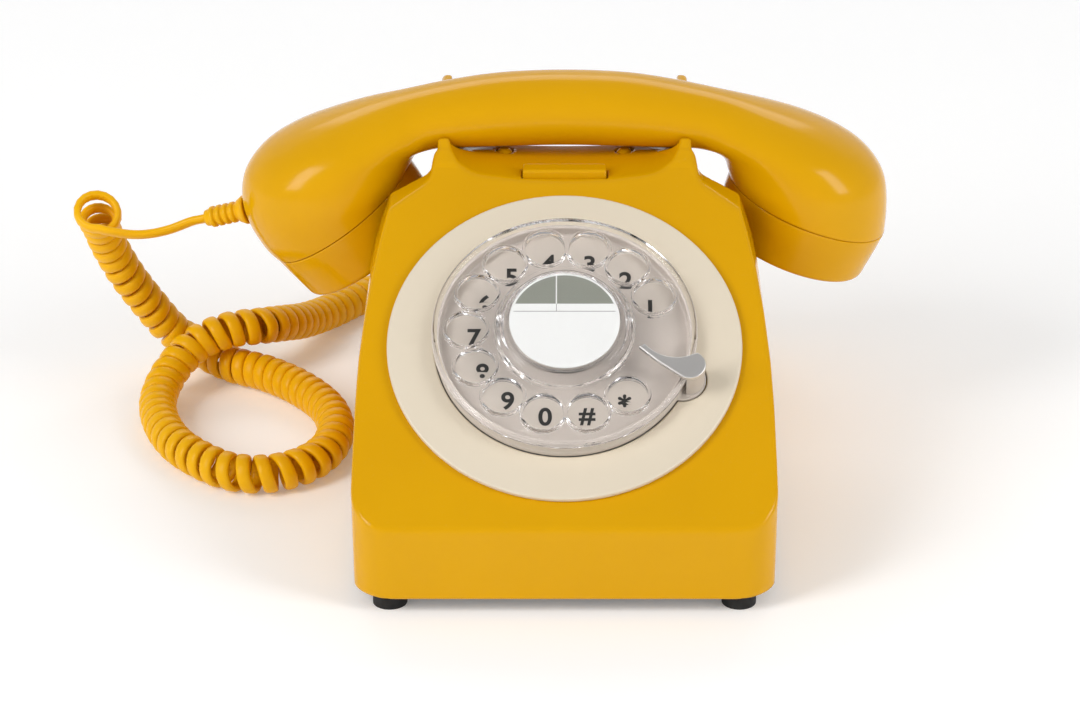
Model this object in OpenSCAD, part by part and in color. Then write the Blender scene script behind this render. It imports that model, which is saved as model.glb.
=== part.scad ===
// Desk telephone with a rotary dial: moulded case on a base plate, dial with
// its gear train and governor, cradle with hook plungers, twin-gong bell, and
// a handset with a curly cord.
// Frame: +Z up, front towards -Y, origin on the table at the middle.

/* [Case] */
// Width of the case at its widest
case_w = 132.6; // [120:0.2:150]
// Depth of the case from front to back
case_d = 200; // [190:1:220]
// Height of the feet that show under the case
foot_h = 5; // [4:0.5:6]
// Height of the edge where the front lip meets the sloping face
lip_z = 29.6; // [28:0.2:32]
// Slope of the face above the level
slope = 33.1; // [32:0.1:34]
// Wall thickness of the mouldings
wall = 3; // [2.5:0.25:3.5]
// Radius of the case's upright corners
corner_r = 14; // [10:1:18]

/* [Dial] */
// Distance of the dial's centre up the face from the lip edge
dial_s = 66.1; // [65:0.1:67]
// Outer radius of the bezel ring
bezel_r = 56.2; // [54:0.2:58]
// Outer radius of the clear finger wheel
wheel_r = 41.7; // [41:0.1:42.5]
// Radius of the circle that the finger holes lie on
hole_ring_r = 30.8; // [30.5:0.1:31.5]
// Radius of one finger hole
hole_r = 6.3; // [6:0.1:6.5]
// Number of finger holes
hole_n = 12; // [10:1:12]
// Angle of the first finger hole
hole_a0 = 23.6; // [20:0.1:30]
// Angle from one finger hole to the next
hole_step = 26; // [25:0.1:26]
// Angle of the finger stop
stop_a = -20; // [-24:1:-18]

/* [Handset] */
// Height of the handle's middle above the table
grip_z = 114.1; // [114:0.1:115]
// Distance of the handle's middle behind the origin
grip_y = 39; // [39:0.1:40]
// Half width of the handle
grip_a = 15.5; // [14:0.1:15.5]
// Half height of the handle
grip_b = 12; // [11:0.1:12]
// Radius of the ear and mouth cups
cup_r = 28.3; // [27:0.1:29]
// Height of the screwed caps
cap_h = 17; // [15:0.5:18]

/* [Cord] */
// Outer radius of the curly cord
coil_r = 6.6; // [5.5:0.1:6.6]
// Radius of the straight ends of the cord
lead_r = 2; // [1.6:0.1:2.2]

/* [Mechanism] */
// Tooth size of the dial's gears
gear_m = 0.6; // [0.5:0.05:0.6]
// Teeth of the main gear
main_n = 48; // [44:4:48]
// Teeth of the pinions
pinion_n = 12; // [12:1:12]
// Teeth of the idler's large gear
idler_n = 36; // [32:4:36]
// Extra distance between gear centres
mesh_gap = 0.3; // [0.2:0.05:0.4]
// Radius of the bell gongs
gong_r = 22; // [20:0.5:22]

/* [Hidden] */
$fn = 48;

mustard = "#dca300";
cream = "#e3d9c6";
steel = "silver";
brass = "#c9a85a";
dark = "#222222";

half_w = case_w / 2;
half_d = case_d / 2;
face_y0 = -half_d + 0.5;
function face(s) = [face_y0 + s * cos(slope), lip_z + s * sin(slope)];
dial_c = face(dial_s);
plate_t = 2.5;
floor_z = foot_h + plate_t;

// Height of the cradle's floor and of the two pairs of horns
cradle_z = 100;
front_horn_z = 109.8;
rear_horn_z = 114.6;
neck_w = 41.8;
// Room left round the handle where it lies in the cradle
cradle_gap_y = 1.5;
cradle_gap_z = 1.5;

// A closed outline moved inwards by d; its points run anticlockwise
function unit(v) = v / norm(v);
function left(v) = [-v[1], v[0]];
function inset(p, d) = [for (i = [0 : len(p) - 1])
    let (a = p[(i + len(p) - 1) % len(p)], b = p[i], c = p[(i + 1) % len(p)],
         n1 = left(unit(b - a)), n2 = left(unit(c - b)))
    b + (n1 + n2) * d / (1 + n1 * n2)];
function arc(c, r, a0, a1, n) = [for (i = [0 : n]) let (a = a0 + (a1 - a0) * i / n)
    [c[0] + r * cos(a), c[1] + r * sin(a)]];
function mirrored(p) = concat(p, [for (i = [len(p) - 1 : -1 : 0]) [-p[i][0], p[i][1]]]);

module along_x(w) {
    rotate([90, 0, 90]) linear_extrude(w, center = true) children();
}
module along_y(y0, y1) {
    translate([0, y1, 0]) rotate([90, 0, 0]) linear_extrude(y1 - y0) children();
}
module at_dial() {
    translate([0, dial_c[0], dial_c[1]]) rotate([slope, 0, 0]) children();
}
module ring(r0, r1, h0, h1) {
    translate([0, 0, h0]) difference() {
        cylinder(r = r1, h = h1 - h0, $fn = 96);
        translate([0, 0, -1]) cylinder(r = r0, h = h1 - h0 + 2, $fn = 96);
    }
}
module disc(r, h0, h1) {
    translate([0, 0, h0]) cylinder(r = r, h = h1 - h0, $fn = 96);
}

/* ---- case ---- */
// Side outlines run anticlockwise as (y, z). The wide body drops away behind
// the shoulders to leave room for the cups; the neck carries the cradle.
rear_foot = [half_d, foot_h];
body_side = concat([[-half_d, foot_h], rear_foot, [half_d, 30]],
                   arc([half_d - 16, 30], 16, 20, 70, 4),
                   [[60, 54], [20, 58], [11.5, 62], [10.2, 68], [11, 80], [12.5, 92], [20.5, 105.5]],
                   [face(141), face(0)]);
neck_side = concat([[-half_d + 10, foot_h], rear_foot, [half_d, 30], [92, 50], [84, 66],
                    [77, 88], [70.5, 108]],
                   arc([65.5, 110.3], 5, -10, 110, 6),
                   [[56, rear_horn_z - 4], [50, 102], [30, 102]],
                   [[24.5, front_horn_z], [22.2, front_horn_z], face(140), face(20)]);
// Front outlines run anticlockwise as (x, z)
function side_x(z) = half_w - 0.0028 * pow(max(0, z - 42), 2) - 0.00015 * pow(max(0, z - 60), 2.6)
                   - 0.0006 * pow(max(0, 36 - z), 1.8);
body_levels = [foot_h, 20, 30, 42, 52, 62, 72, 80, 87, 94];
body_front = mirrored(concat([for (z = body_levels) [side_x(z), z]],
                             [[45.4, 99.5], [44, 100.9], [43.3, 104], [42.3, 107], [41.4, 109.8],
                              [40, 110.6]]));
neck_front = mirrored([[neck_w, foot_h], [neck_w, 113.5], [neck_w - 1, 116]]);
// Simpler outlines with long edges only, which are moved in by the wall
body_side_in = inset([[-half_d, foot_h], rear_foot, [half_d, 32], [88, 46], [60, 54], [11, 58],
                      [10.6, 88], face(126), face(0)], wall);
body_front_in = inset(mirrored(concat([for (z = [foot_h, 30, 60, 80, 94]) [side_x(z), z]],
                                       [[45.4, 99.5], [44, 112]])), wall);
neck_side_in = inset([[-half_d + 10, foot_h], rear_foot, [half_d, 30], [92, 50], [84, 66],
                      [77, 88], [71, 112], [24, 112], face(20)], wall);
valley_half = [[0, cradle_z], [13, cradle_z + 0.3], [20, cradle_z + 0.8], [27, cradle_z + 1.4],
               [31, cradle_z + 2.3], [34.5, cradle_z + 4], [36.6, cradle_z + 6.2],
               [37.8, cradle_z + 8.4], [38.4, cradle_z + 12]];
valley = concat(valley_half, [[38.4, 130], [-38.4, 130]],
                [for (i = [len(valley_half) - 1 : -1 : 1]) [-valley_half[i][0], valley_half[i][1]]]);
// Hollow between the rear horns that the fingers carry the telephone by
pocket_x = 34;
pocket_side = [[41, 130], [40, cradle_z + 1], [40.5, cradle_z - 2], [43.5, 94], [44.5, 77],
               [49, 71.5], [56, 70], [120, 66], [120, 130]];
saddle_a = grip_a + cradle_gap_y;
saddle_b = grip_b + cradle_gap_z;
saddle = concat([for (i = [0 : 16]) let (a = 180 + 180 * i / 16)
                 [grip_y + saddle_a * cos(a), grip_z + saddle_b * sin(a)]],
                [[grip_y + saddle_a, 140], [grip_y - saddle_a, 140]]);
foot_x = 54.4;
foot_y = [-91.2, 84];
post_x = 52;
post_y = [-76, 75];
plunger_x = 20;
plunger_y = 34;
plunger_r = 2.6;
button_y = 14.3;
button_w = 27.5;
button_d = 6.4;
socket_x = 40;
socket_z = 16;
line_x = -4;
ringer_x = 38;

module plan(d) {
    r = corner_r - d;
    linear_extrude(200) union() {
        square([case_w - 2 * d - 2 * r, case_d - 2 * d], center = true);
        square([case_w - 2 * d, case_d - 2 * d - 2 * r], center = true);
        for (x = [-1, 1], y = [-1, 1])
            translate([x * (half_w - d - r), y * (half_d - d - r)]) circle(r = r, $fn = 64);
    }
}
module crossed(side, front) {
    intersection() {
        along_x(160) polygon(side);
        along_y(-110, 110) polygon(front);
    }
}
module valley_cut() {
    along_y(-20, 130) polygon(valley);
    along_x(2 * neck_w + 20) polygon(saddle);
}
module pocket_cut(d) {
    along_x(2 * (pocket_x + d)) polygon(inset(pocket_side, -d));
}
module case_outer() {
    intersection() {
        difference() {
            union() {
                crossed(body_side, body_front);
                crossed(neck_side, neck_front);
            }
            valley_cut();
            pocket_cut(0);
        }
        plan(0);
    }
}
// The hollow stops under the cradle's floor, so the horns are solid
module case_inner() {
    intersection() {
        difference() {
            union() {
                crossed(body_side_in, body_front_in);
                intersection() {
                    along_x(2 * pocket_x) polygon(neck_side_in);
                    translate([0, -40, 0]) cube([200, 160, 400], center = true);
                }
            }
            pocket_cut(wall);
        }
        plan(wall);
        cube([300, 300, 2 * (cradle_z - wall)], center = true);
    }
}
module case_shell() {
    color(mustard) difference() {
        union() {
            difference() {
                case_outer();
                case_inner();
                // opening inside the ledge that bears on the base plate
                intersection() {
                    plan(wall + 1.4);
                    cube([300, 300, 2 * (floor_z + 1)], center = true);
                }
            }
            // screw posts
            intersection() {
                case_outer();
                for (x = [-post_x, post_x], y = post_y)
                    translate([x, y, foot_h + 1]) cylinder(r = 4.5, h = 60);
            }
        }
        for (x = [-post_x, post_x], y = post_y)
            translate([x, y, floor_z - 1]) cylinder(r = 1.3, h = 13);
        // seat of the base plate
        intersection() {
            plan(wall);
            cube([300, 300, 2 * floor_z], center = true);
        }
        at_dial() disc(46, -12, 6);
        for (x = [-plunger_x, plunger_x])
            translate([x, plunger_y, 80]) cylinder(r = plunger_r + 0.35, h = 30);
        translate([-button_w / 2 - 0.35, button_y - button_d / 2 - 0.35, 80])
            cube([button_w + 0.7, button_d + 0.7, 30]);
        // notches that let the case down over the sockets
        for (x = [-socket_x, line_x])
            translate([x - 6.7, half_d - 10, 0]) cube([13.4, 20, socket_z + 6.2]);
        translate([ringer_x, half_d, socket_z]) cube([14.4, 20, 6.4], center = true);
    }
}

module base_plate() {
    color(dark) difference() {
        intersection() {
            plan(wall + 0.2);
            translate([0, 0, foot_h]) linear_extrude(plate_t) square(300, center = true);
        }
        for (x = [-foot_x, foot_x], y = foot_y)
            translate([x, y, 0]) cylinder(r = 2.5, h = 20);
        for (x = [-post_x, post_x], y = post_y) translate([x, y, 0]) cylinder(r = 1.7, h = 20);
        // slots under the bell, which let its sound out
        for (i = [-4 : 4]) translate([i * 5, 45, 0]) cube([2, 26, 30], center = true);
    }
}
module feet() {
    color(dark) for (x = [-foot_x, foot_x], y = foot_y) translate([x, y, 0]) {
        cylinder(r = 5.4, h = foot_h);
        cylinder(r = 2.45, h = floor_z + 1);
        translate([0, 0, floor_z]) cylinder(r = 3.4, h = 1.2);
    }
}
module base_screws() {
    color(steel) for (x = [-post_x, post_x], y = post_y) translate([x, y, 0]) {
        translate([0, 0, foot_h - 2]) difference() {
            cylinder(r = 3, h = 2);
            translate([0, 0, 0.6]) cube([4.4, 0.9, 1.4], center = true);
        }
        translate([0, 0, foot_h - 0.5]) cylinder(r = 1.25, h = 13);
    }
}
module ballast_weight() {
    color("dimgray") translate([0, -45, floor_z]) difference() {
        translate([-45, -9, 0]) cube([90, 18, 7]);
        for (x = [-38, 38]) translate([x, 0, -1]) cylinder(r = 1.7, h = 9);
    }
}

/* ---- dial ---- */
bezel_top = 2;
plate_top = 3.5;
dish_top = 7.6;
wheel_z = 8;
wheel_t = 1.8;
boss_r = 21.2;
boss_z = 14.4;
hub_r = 7.6;
hub_z = 11;
label_r = 17.3;
label_z = 15;
label_t = 0.4;
dish_r = 40.8;
frame_z = -5;
// Finger stop: the middle and radius of its round end, its height and screw
stop_x = 41.5;
stop_end_r = 5;
stop_z = wheel_z + wheel_t + 1.2;
stop_t = 1.6;
stop_screw_x = 44.3;
// Lobe of the number plate that carries the finger stop's post
module lobe(grow, h0, h1) {
    rotate([0, 0, stop_a]) translate([39.2, 0, h0]) cylinder(r = 7.6 + grow, h = h1 - h0);
}
module dial_bezel() {
    color(cream) at_dial() difference() {
        union() {
            ring(dish_r + 0.4, bezel_r, 0.02, bezel_top);
            ring(dish_r + 0.4, 45.6, -4, 0.5);
        }
        lobe(0.35, -8, 6);
    }
}
module number_plate() {
    color("#dccdc0") at_dial() difference() {
        union() {
            disc(dish_r, plate_top - 2, plate_top);
            ring(dish_r - 1.4, dish_r, plate_top - 1, dish_top);
            lobe(0, 0.3, bezel_top + 0.1);
            difference() {
                rotate([0, 0, stop_a]) translate([stop_x, 0, 1]) cylinder(r = stop_end_r, h = stop_z - 1);
                disc(wheel_r + 0.5, 0, 30);
            }
        }
        disc(4.2, 0, 20);
        rotate([0, 0, stop_a]) translate([stop_screw_x, 0, -1]) cylinder(r = 0.9, h = 30);
    }
}
module dial_frame() {
    color(steel) at_dial() difference() {
        union() {
            disc(39, frame_z - 1.6, frame_z);
            ring(3.05, 6, -22, -14.5);
            disc(37, -23.6, -22);
            for (a = [40, 160, 280]) rotate([0, 0, a])
                translate([34.5, 0, -22.5]) cylinder(r = 2.2, h = 16.5);
            // lugs that bear on the case from inside
            for (a = [100, 220, 340]) rotate([0, 0, a]) {
                translate([30, -4, frame_z - 1.5]) cube([22, 8, 1.4]);
                translate([47, -4, frame_z - 0.5]) cube([5, 8, 2.45]);
            }
            for (a = [70, 190, 310]) rotate([0, 0, a])
                translate([36, 0, frame_z - 0.5]) cylinder(r = 2.4, h = plate_top - 2 - frame_z + 0.5);
        }
        disc(3.05, -30, 10);
        translate([idler_x, idler_y, -30]) cylinder(r = 1.05, h = 40);
        translate([gov_x, gov_y, -30]) cylinder(r = 1.05, h = 40);
        for (a = [70, 190, 310]) rotate([0, 0, a])
            translate([36, 0, -5]) cylinder(r = 0.9, h = 20);
    }
}
module finger_wheel() {
    color("#eeeeeeaa") at_dial() difference() {
        union() {
            disc(wheel_r, wheel_z, wheel_z + wheel_t);
            ring(wheel_r - 1.4, wheel_r, wheel_z, wheel_z + wheel_t + 0.7);
            for (i = [0 : hole_n - 1]) rotate([0, 0, hole_a0 + i * hole_step])
                translate([hole_ring_r, 0, wheel_z]) cylinder(r = hole_r + 0.9, h = wheel_t + 1);
            rotate_extrude($fn = 96) polygon([[0, wheel_z], [boss_r + 1.4, wheel_z],
                [boss_r + 1, wheel_z + 3.4], [boss_r, boss_z - 0.8], [boss_r - 0.8, boss_z],
                [label_r + 1.4, boss_z], [label_r + 1.2, label_z], [0, label_z]]);
        }
        for (i = [0 : hole_n - 1]) rotate([0, 0, hole_a0 + i * hole_step])
            translate([hole_ring_r, 0, 0]) cylinder(r = hole_r, h = 30);
        // hollow under the raised middle, round the hub
        rotate_extrude($fn = 96) polygon([[hub_r, 6], [boss_r - 0.5, 6], [boss_r - 0.8, wheel_z + 3.2],
            [boss_r - 2, boss_z - 1.6], [hub_r, boss_z - 1.6]]);
        disc(3.05, 0, 30);
        disc(6.2, hub_z, 30);
    }
}
module label_card() {
    color("white") at_dial() disc(label_r, label_z, label_z + label_t);
}
module label_cover() {
    color("#eeeeee88") at_dial() {
        disc(label_r + 1.1, label_z + label_t, label_z + 1.3);
        ring(label_r + 0.2, label_r + 1.1, label_z, label_z + 0.9);
    }
}
module wheel_nut() {
    color(brass) at_dial() difference() {
        translate([0, 0, hub_z + 0.05]) cylinder(r = 5, h = 1.8, $fn = 6);
        disc(2, 0, 30);
    }
}
// Finger stop: a flat hook over the wheel, with a hollow upper edge and a round end
function bezier(a, b, c, d, t) = a * pow(1 - t, 3) + 3 * b * t * pow(1 - t, 2)
    + 3 * c * t * t * (1 - t) + d * pow(t, 3);
module finger_stop() {
    hollow_edge = [for (i = [1 : 10])
        bezier([stop_x + 0.1, 4.7], [39.5, 1.5], [33, -1.8], [25.8, 2.4], i / 10)];
    round_end = arc([stop_x, 0], stop_end_r, -105, 80, 16);
    color(steel) at_dial() rotate([0, 0, stop_a]) difference() {
        translate([0, 0, stop_z]) linear_extrude(stop_t)
            polygon(concat([[24.3, 0.7], [31.5, -2.2]], round_end, hollow_edge));
        translate([stop_screw_x, 0, 0]) cylinder(r = 0.9, h = stop_z + 1);
    }
}
module stop_screw() {
    color(steel) at_dial() rotate([0, 0, stop_a]) translate([stop_screw_x, 0, 0]) {
        translate([0, 0, -0.5]) cylinder(r = 1.5, h = 0.78);
        translate([0, 0, -0.5]) cylinder(r = 0.88, h = stop_z + 1.4);
    }
}
module dial_shaft() {
    color(steel) at_dial() {
        disc(2.99, -24.5, hub_z + 0.05);
        disc(1.95, -24.5, hub_z + 2.2);
        ring(2.9, 5.2, wheel_z - 1, wheel_z - 0.02);
    }
}

// Gear outline with straight-sided teeth
function gear(n, m, turn) = [for (i = [0 : n - 1], k = [0 : 3])
    let (w = 360 / n, a = turn + i * w + w * [-0.29, -0.115, 0.115, 0.29][k],
         r = m * n / 2 + m * [-1.15, 0.85, 0.85, -1.15][k]) [r * cos(a), r * sin(a)]];
idler_a = 185;
idler_c = gear_m * (main_n + pinion_n) / 2 + mesh_gap;
idler_x = idler_c * cos(idler_a);
idler_y = idler_c * sin(idler_a);
gov_a = 100;
gov_c = gear_m * (idler_n + pinion_n) / 2 + mesh_gap;
gov_x = idler_x + gov_c * cos(gov_a);
gov_y = idler_y + gov_c * sin(gov_a);
main_z = -10;
train_z = -13.5;
module main_gear() {
    color(brass) at_dial() translate([0, 0, main_z]) difference() {
        union() {
            linear_extrude(1.6) polygon(gear(main_n, gear_m, idler_a));
            cylinder(r = 6, h = 2.6);
        }
        translate([0, 0, -1]) cylinder(r = 3, h = 6);
        for (a = [0 : 120 : 240]) rotate([0, 0, a + 30]) translate([9.2, 0, -1])
            cylinder(r = 2.2, h = 6);
    }
}
module idler_gear() {
    color(brass) at_dial() translate([idler_x, idler_y, 0]) {
        translate([0, 0, main_z - 0.4]) linear_extrude(2.4)
            polygon(gear(pinion_n, gear_m, idler_a + 180 + 180 / pinion_n));
        translate([0, 0, train_z]) linear_extrude(1.2) polygon(gear(idler_n, gear_m, gov_a));
        translate([0, 0, -23.8]) cylinder(r = 1, h = 18);
        translate([0, 0, train_z]) cylinder(r = 2, h = 5.5);
    }
}
module governor_spindle() {
    color(steel) at_dial() translate([gov_x, gov_y, 0]) {
        translate([0, 0, train_z - 0.4]) linear_extrude(2.2)
            polygon(gear(pinion_n, gear_m, gov_a + 180 + 180 / pinion_n));
        translate([0, 0, -23.8]) cylinder(r = 1, h = 18);
        translate([-3.85, -1.2, -18.2]) cube([7.7, 2.4, 1.2]);
    }
}
module governor_weights() {
    color(brass) at_dial() translate([gov_x, gov_y, 0]) for (a = [0, 180])
        rotate([0, 0, a]) translate([5.4, 0, -18.4]) cylinder(r = 1.5, h = 2);
}
module governor_cup() {
    color(steel) at_dial() translate([gov_x, gov_y, 0]) {
        ring(7.6, 8.6, -21.9, -16);
        ring(1.3, 8.6, -21.9, -20.9);
    }
}
// Flat spiral spring round the shaft
module return_spring() {
    spiral = [for (i = [0 : 96]) let (a = i * 15, r = 6.6 + 7.4 * i / 96) [r * cos(a), r * sin(a)]];
    back = [for (i = [96 : -1 : 0]) let (a = i * 15, r = 6.3 + 7.4 * i / 96) [r * cos(a), r * sin(a)]];
    color("#5a6470") at_dial() translate([0, 0, -21.5]) linear_extrude(3.2)
        polygon(concat(spiral, back));
}
module pulse_contacts() {
    color("#7a3b20") at_dial() translate([14, -25, -20]) cube([12, 5, 12]);
    color(brass) at_dial() for (i = [0 : 2])
        translate([4, -24.5 + i * 1.5, -19]) cube([10.01, 0.5, 8]);
}
module dial_screws() {
    color(steel) at_dial() for (a = [70, 190, 310]) rotate([0, 0, a])
        translate([36, 0, -4.5]) cylinder(r = 0.88, h = plate_top - 2 + 4.5 - 0.02);
}

/* ---- cradle ---- */
module recall_button() {
    r = button_d / 2;
    color(mustard) {
        translate([0, button_y, cradle_z - 0.2]) rotate([90, 0, 90])
            linear_extrude(button_w, center = true)
            polygon(concat([[-r, -7], [r, -7]], arc([r - 2.6, 0.4], 2.6, 0, 90, 6),
                           arc([-r + 2.6, 0.4], 2.6, 90, 180, 6)));
        translate([-16, button_y - 4.6, cradle_z - 5.6]) cube([32, 9.2, 2]);
    }
}
module button_spring() {
    coil(2.6, 0.35, 4, [0, button_y, 84.02], 8.7);
}
module hook_plungers() {
    top = grip_z - grip_b * sqrt(1 - pow((grip_y - plunger_y) / grip_a, 2)) - 1.3;
    color(dark) {
        for (x = [-plunger_x, plunger_x]) translate([x, plunger_y, 0]) {
            translate([0, 0, 88]) cylinder(r = plunger_r, h = top - 88 - 1.2);
            translate([0, 0, top - 1.21]) cylinder(r1 = plunger_r, r2 = plunger_r - 1.2, h = 1.2);
        }
        translate([-plunger_x - 4, plunger_y - 3, 86]) cube([2 * plunger_x + 8, 6, 2.4]);
        translate([-3, plunger_y - 2, 68]) cube([6, 4, 18.5]);
    }
}
module hook_spring() {
    coil(3.6, 0.4, 4, [12, plunger_y, 75], 10.9);
}
module hook_guide() {
    color(dark) difference() {
        translate([-16, plunger_y - 4, 71]) cube([32, 8, 4]);
        translate([-3.3, plunger_y - 2.3, 60]) cube([6.6, 4.6, 20]);
    }
    color(dark) for (x = [-10, 10]) translate([x - 2, plunger_y - 4, floor_z]) cube([4, 8, 64]);
    // arm that carries the button's spring
    color(dark) translate([-6, plunger_y - 6, 71]) cube([12, 2.4, 13]);
    color(dark) translate([-6, button_y - 4, 82]) cube([12, plunger_y - button_y - 0.5, 2]);
}
module hook_switch() {
    color("#303438") translate([-8, plunger_y - 5, 56]) cube([16, 10, 9.6]);
    color(steel) translate([-1.5, plunger_y - 1.5, 65.5]) cube([3, 3, 2.2]);
}
// Round wire wound along z, closed at both ends
module coil(r, w, turns, at, h) {
    n = turns * 12;
    sides = 6;
    pts = [for (i = [0 : n], k = [0 : sides - 1])
        let (a = 30 * i, b = 360 * k / sides, q = r + w * cos(b))
        [at[0] + q * cos(a), at[1] + q * sin(a), at[2] + w + (h - 2 * w) * i / n + w * sin(b)]];
    walls = [for (i = [0 : n - 1], k = [0 : sides - 1]) let (j = (k + 1) % sides)
        [i * sides + k, (i + 1) * sides + k, (i + 1) * sides + j, i * sides + j]];
    color(steel) polyhedron(pts, concat([[for (k = [0 : sides - 1]) k]], walls,
        [[for (k = [sides - 1 : -1 : 0]) n * sides + k]]));
}

/* ---- electronics and bell ---- */
module circuit_board() {
    color("#2c5f3a") difference() {
        translate([-48, -14, 12]) cube([96, 34, 1.6]);
        for (x = [-44, 44], y = [-10, 16]) translate([x, y, 10]) cylinder(r = 1.6, h = 6);
    }
    color(brass) for (x = [-44, 44], y = [-10, 16]) translate([x, y, floor_z])
        cylinder(r = 2.6, h = 12 - floor_z + 0.02);
}
module board_parts() {
    z = 13.6;
    color(dark) translate([-34, -8, z]) cube([16, 8, 3]);
    color("#335588") for (x = [-6, 6]) translate([x, -4, z]) cylinder(r = 4, h = 12);
    color("#b05030") translate([20, -8, z]) cube([12, 6, 9]);
    color("ivory") translate([22, 6, z]) cube([14, 6, 7]);
    color("ivory") translate([-38, 8, z]) cube([14, 6, 7]);
}
module jack(x, lead_in) {
    translate([x, half_d - 7.3, 0]) difference() {
        union() {
            translate([-6.5, -7, floor_z + 0.05]) cube([13, 14, socket_z + 5.95 - floor_z]);
            // lip that closes the notch below
            translate([-6.5, 4.4, foot_h + 0.1]) cube([13, 2.6, 4]);
        }
        translate([0, 3, socket_z]) cube([lead_in, 12, 7.2], center = true);
    }
}
module line_socket() {
    color(dark) jack(line_x, 9.8);
}
module handset_socket() {
    color(dark) jack(-socket_x, 8);
}
module ringer_housing() {
    color(dark) translate([ringer_x, half_d - 3.3, socket_z]) difference() {
        cube([14, 6, 6], center = true);
        translate([0, 2, 0]) cube([10.6, 6, 3.6], center = true);
    }
}
module ringer_slider() {
    color("ivory") translate([ringer_x - 2.5, half_d - 2.4, socket_z]) cube([5, 3.4, 3], center = true);
}
bell_y = 57;
bell_x = 26.4;
gong_z = 24;
module gong() {
    color(brass) difference() {
        rotate_extrude($fn = 96) polygon(concat([[0, 14], [0, 12.6]],
            [for (i = [0 : 10]) let (a = 90 - 8.4 * i) [(gong_r - 1.4) * cos(a), 12.6 * sin(a)]],
            [[gong_r - 1.4, 0], [gong_r, 0]],
            [for (i = [10 : -1 : 1]) let (a = 90 - 8.4 * i) [gong_r * cos(a), 14 * sin(a)]]));
        cylinder(r = 1.7, h = 30);
    }
}
module bell_gong_left() {
    translate([-bell_x, bell_y, gong_z]) gong();
}
module bell_gong_right() {
    translate([bell_x, bell_y, gong_z]) gong();
}
module bell_posts() {
    color(steel) for (x = [-bell_x, bell_x]) translate([x, bell_y, 0]) {
        translate([0, 0, floor_z]) cylinder(r = 3, h = gong_z + 12.35 - floor_z);
        translate([0, 0, gong_z + 12]) cylinder(r = 1.65, h = 3);
        translate([0, 0, gong_z + 14.05]) cylinder(r = 3.4, h = 1.6);
    }
}
clapper_y = 79;
module bell_bracket() {
    color(steel) difference() {
        union() {
            translate([-16, clapper_y - 7.5, floor_z]) cube([32, 13.5, 1.6]);
            translate([-3.5, clapper_y - 3, floor_z]) cube([7, 6, 4.5]);
        }
        translate([0, clapper_y, floor_z + 1]) cylinder(r = 1.55, h = 20);
    }
}
module bell_coils() {
    color("#8a3a22") for (x = [-11, 11]) translate([x, clapper_y, floor_z + 1.6])
        cylinder(r = 4.4, h = 12);
    color(steel) for (x = [-11, 11]) translate([x, clapper_y, floor_z + 13.6])
        cylinder(r = 2, h = 1.5);
}
module bell_clapper() {
    color(steel) {
        translate([0, clapper_y, floor_z + 2]) cylinder(r = 1.5, h = 16);
        translate([-13, clapper_y - 2.5, floor_z + 16]) cube([26, 5, 1.6]);
        translate([-0.8, bell_y, floor_z + 16]) cube([1.6, clapper_y - bell_y, 1.6]);
        translate([0, bell_y, floor_z + 16.8]) sphere(r = 2.6, $fn = 32);
    }
}

/* ---- handset ---- */
// The handset's outline as pairs of points in (x, z): the inner, lower side
// and the outer, upper side of one section each, with the half width in y.
mouth_c = [-75, 78];
mouth_tilt = 36;
ear_c = [82, 80.5];
ear_tilt = 20.5;
function cup_in(c, t, side) = c + cup_r * [-side * cos(t), sin(t)];
function cup_out(c, t, side) = c + cup_r * [side * cos(t), -sin(t)];
grip_top = grip_z + grip_b;
grip_low = grip_z - grip_b;
sections = [
    [cup_in(mouth_c, mouth_tilt, -1), cup_out(mouth_c, mouth_tilt, -1), cup_r],
    [[-51.4, 95.8], [-102, 65.6], cup_r],
    [[-50.6, 97.2], [-106.8, 74.2], cup_r],
    [[-50, 98.3], [-108.8, 82.5], 27.9],
    [[-49.4, 99.1], [-107.4, 91.5], 27],
    [[-48.8, 99.8], [-101.5, 99.6], 25.6],
    [[-48, 100.4], [-92.5, 105.6], 23.8],
    [[-47, 100.8], [-81.5, 110.4], 21.6],
    [[-45, 101.1], [-68.5, 115], 19],
    [[-41, grip_low - 0.9], [-54, 119], 15.6],
    [[-34, grip_low - 0.8], [-39, 122.4], grip_a],
    [[-20, grip_low - 0.5], [-21, 125.2], grip_a],
    [[0, grip_low], [0, grip_top], grip_a],
    [[20, grip_low - 0.5], [21, 125.2], grip_a],
    [[34, grip_low - 0.8], [38, 122.4], grip_a],
    [[43, grip_low - 0.9], [53, 119], 15.6],
    [[48, 101], [67, 115], 19],
    [[50.4, 100.2], [81, 110.4], 21.8],
    [[51.8, 99.2], [92.5, 105.2], 24],
    [[52.8, 98], [101.5, 99], 25.8],
    [[53.8, 96.2], [107.2, 91], 27.2],
    [[54.6, 93.6], [108.8, 81.5], 28],
    [cup_in(ear_c, ear_tilt, 1), cup_out(ear_c, ear_tilt, 1), cup_r]];
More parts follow.
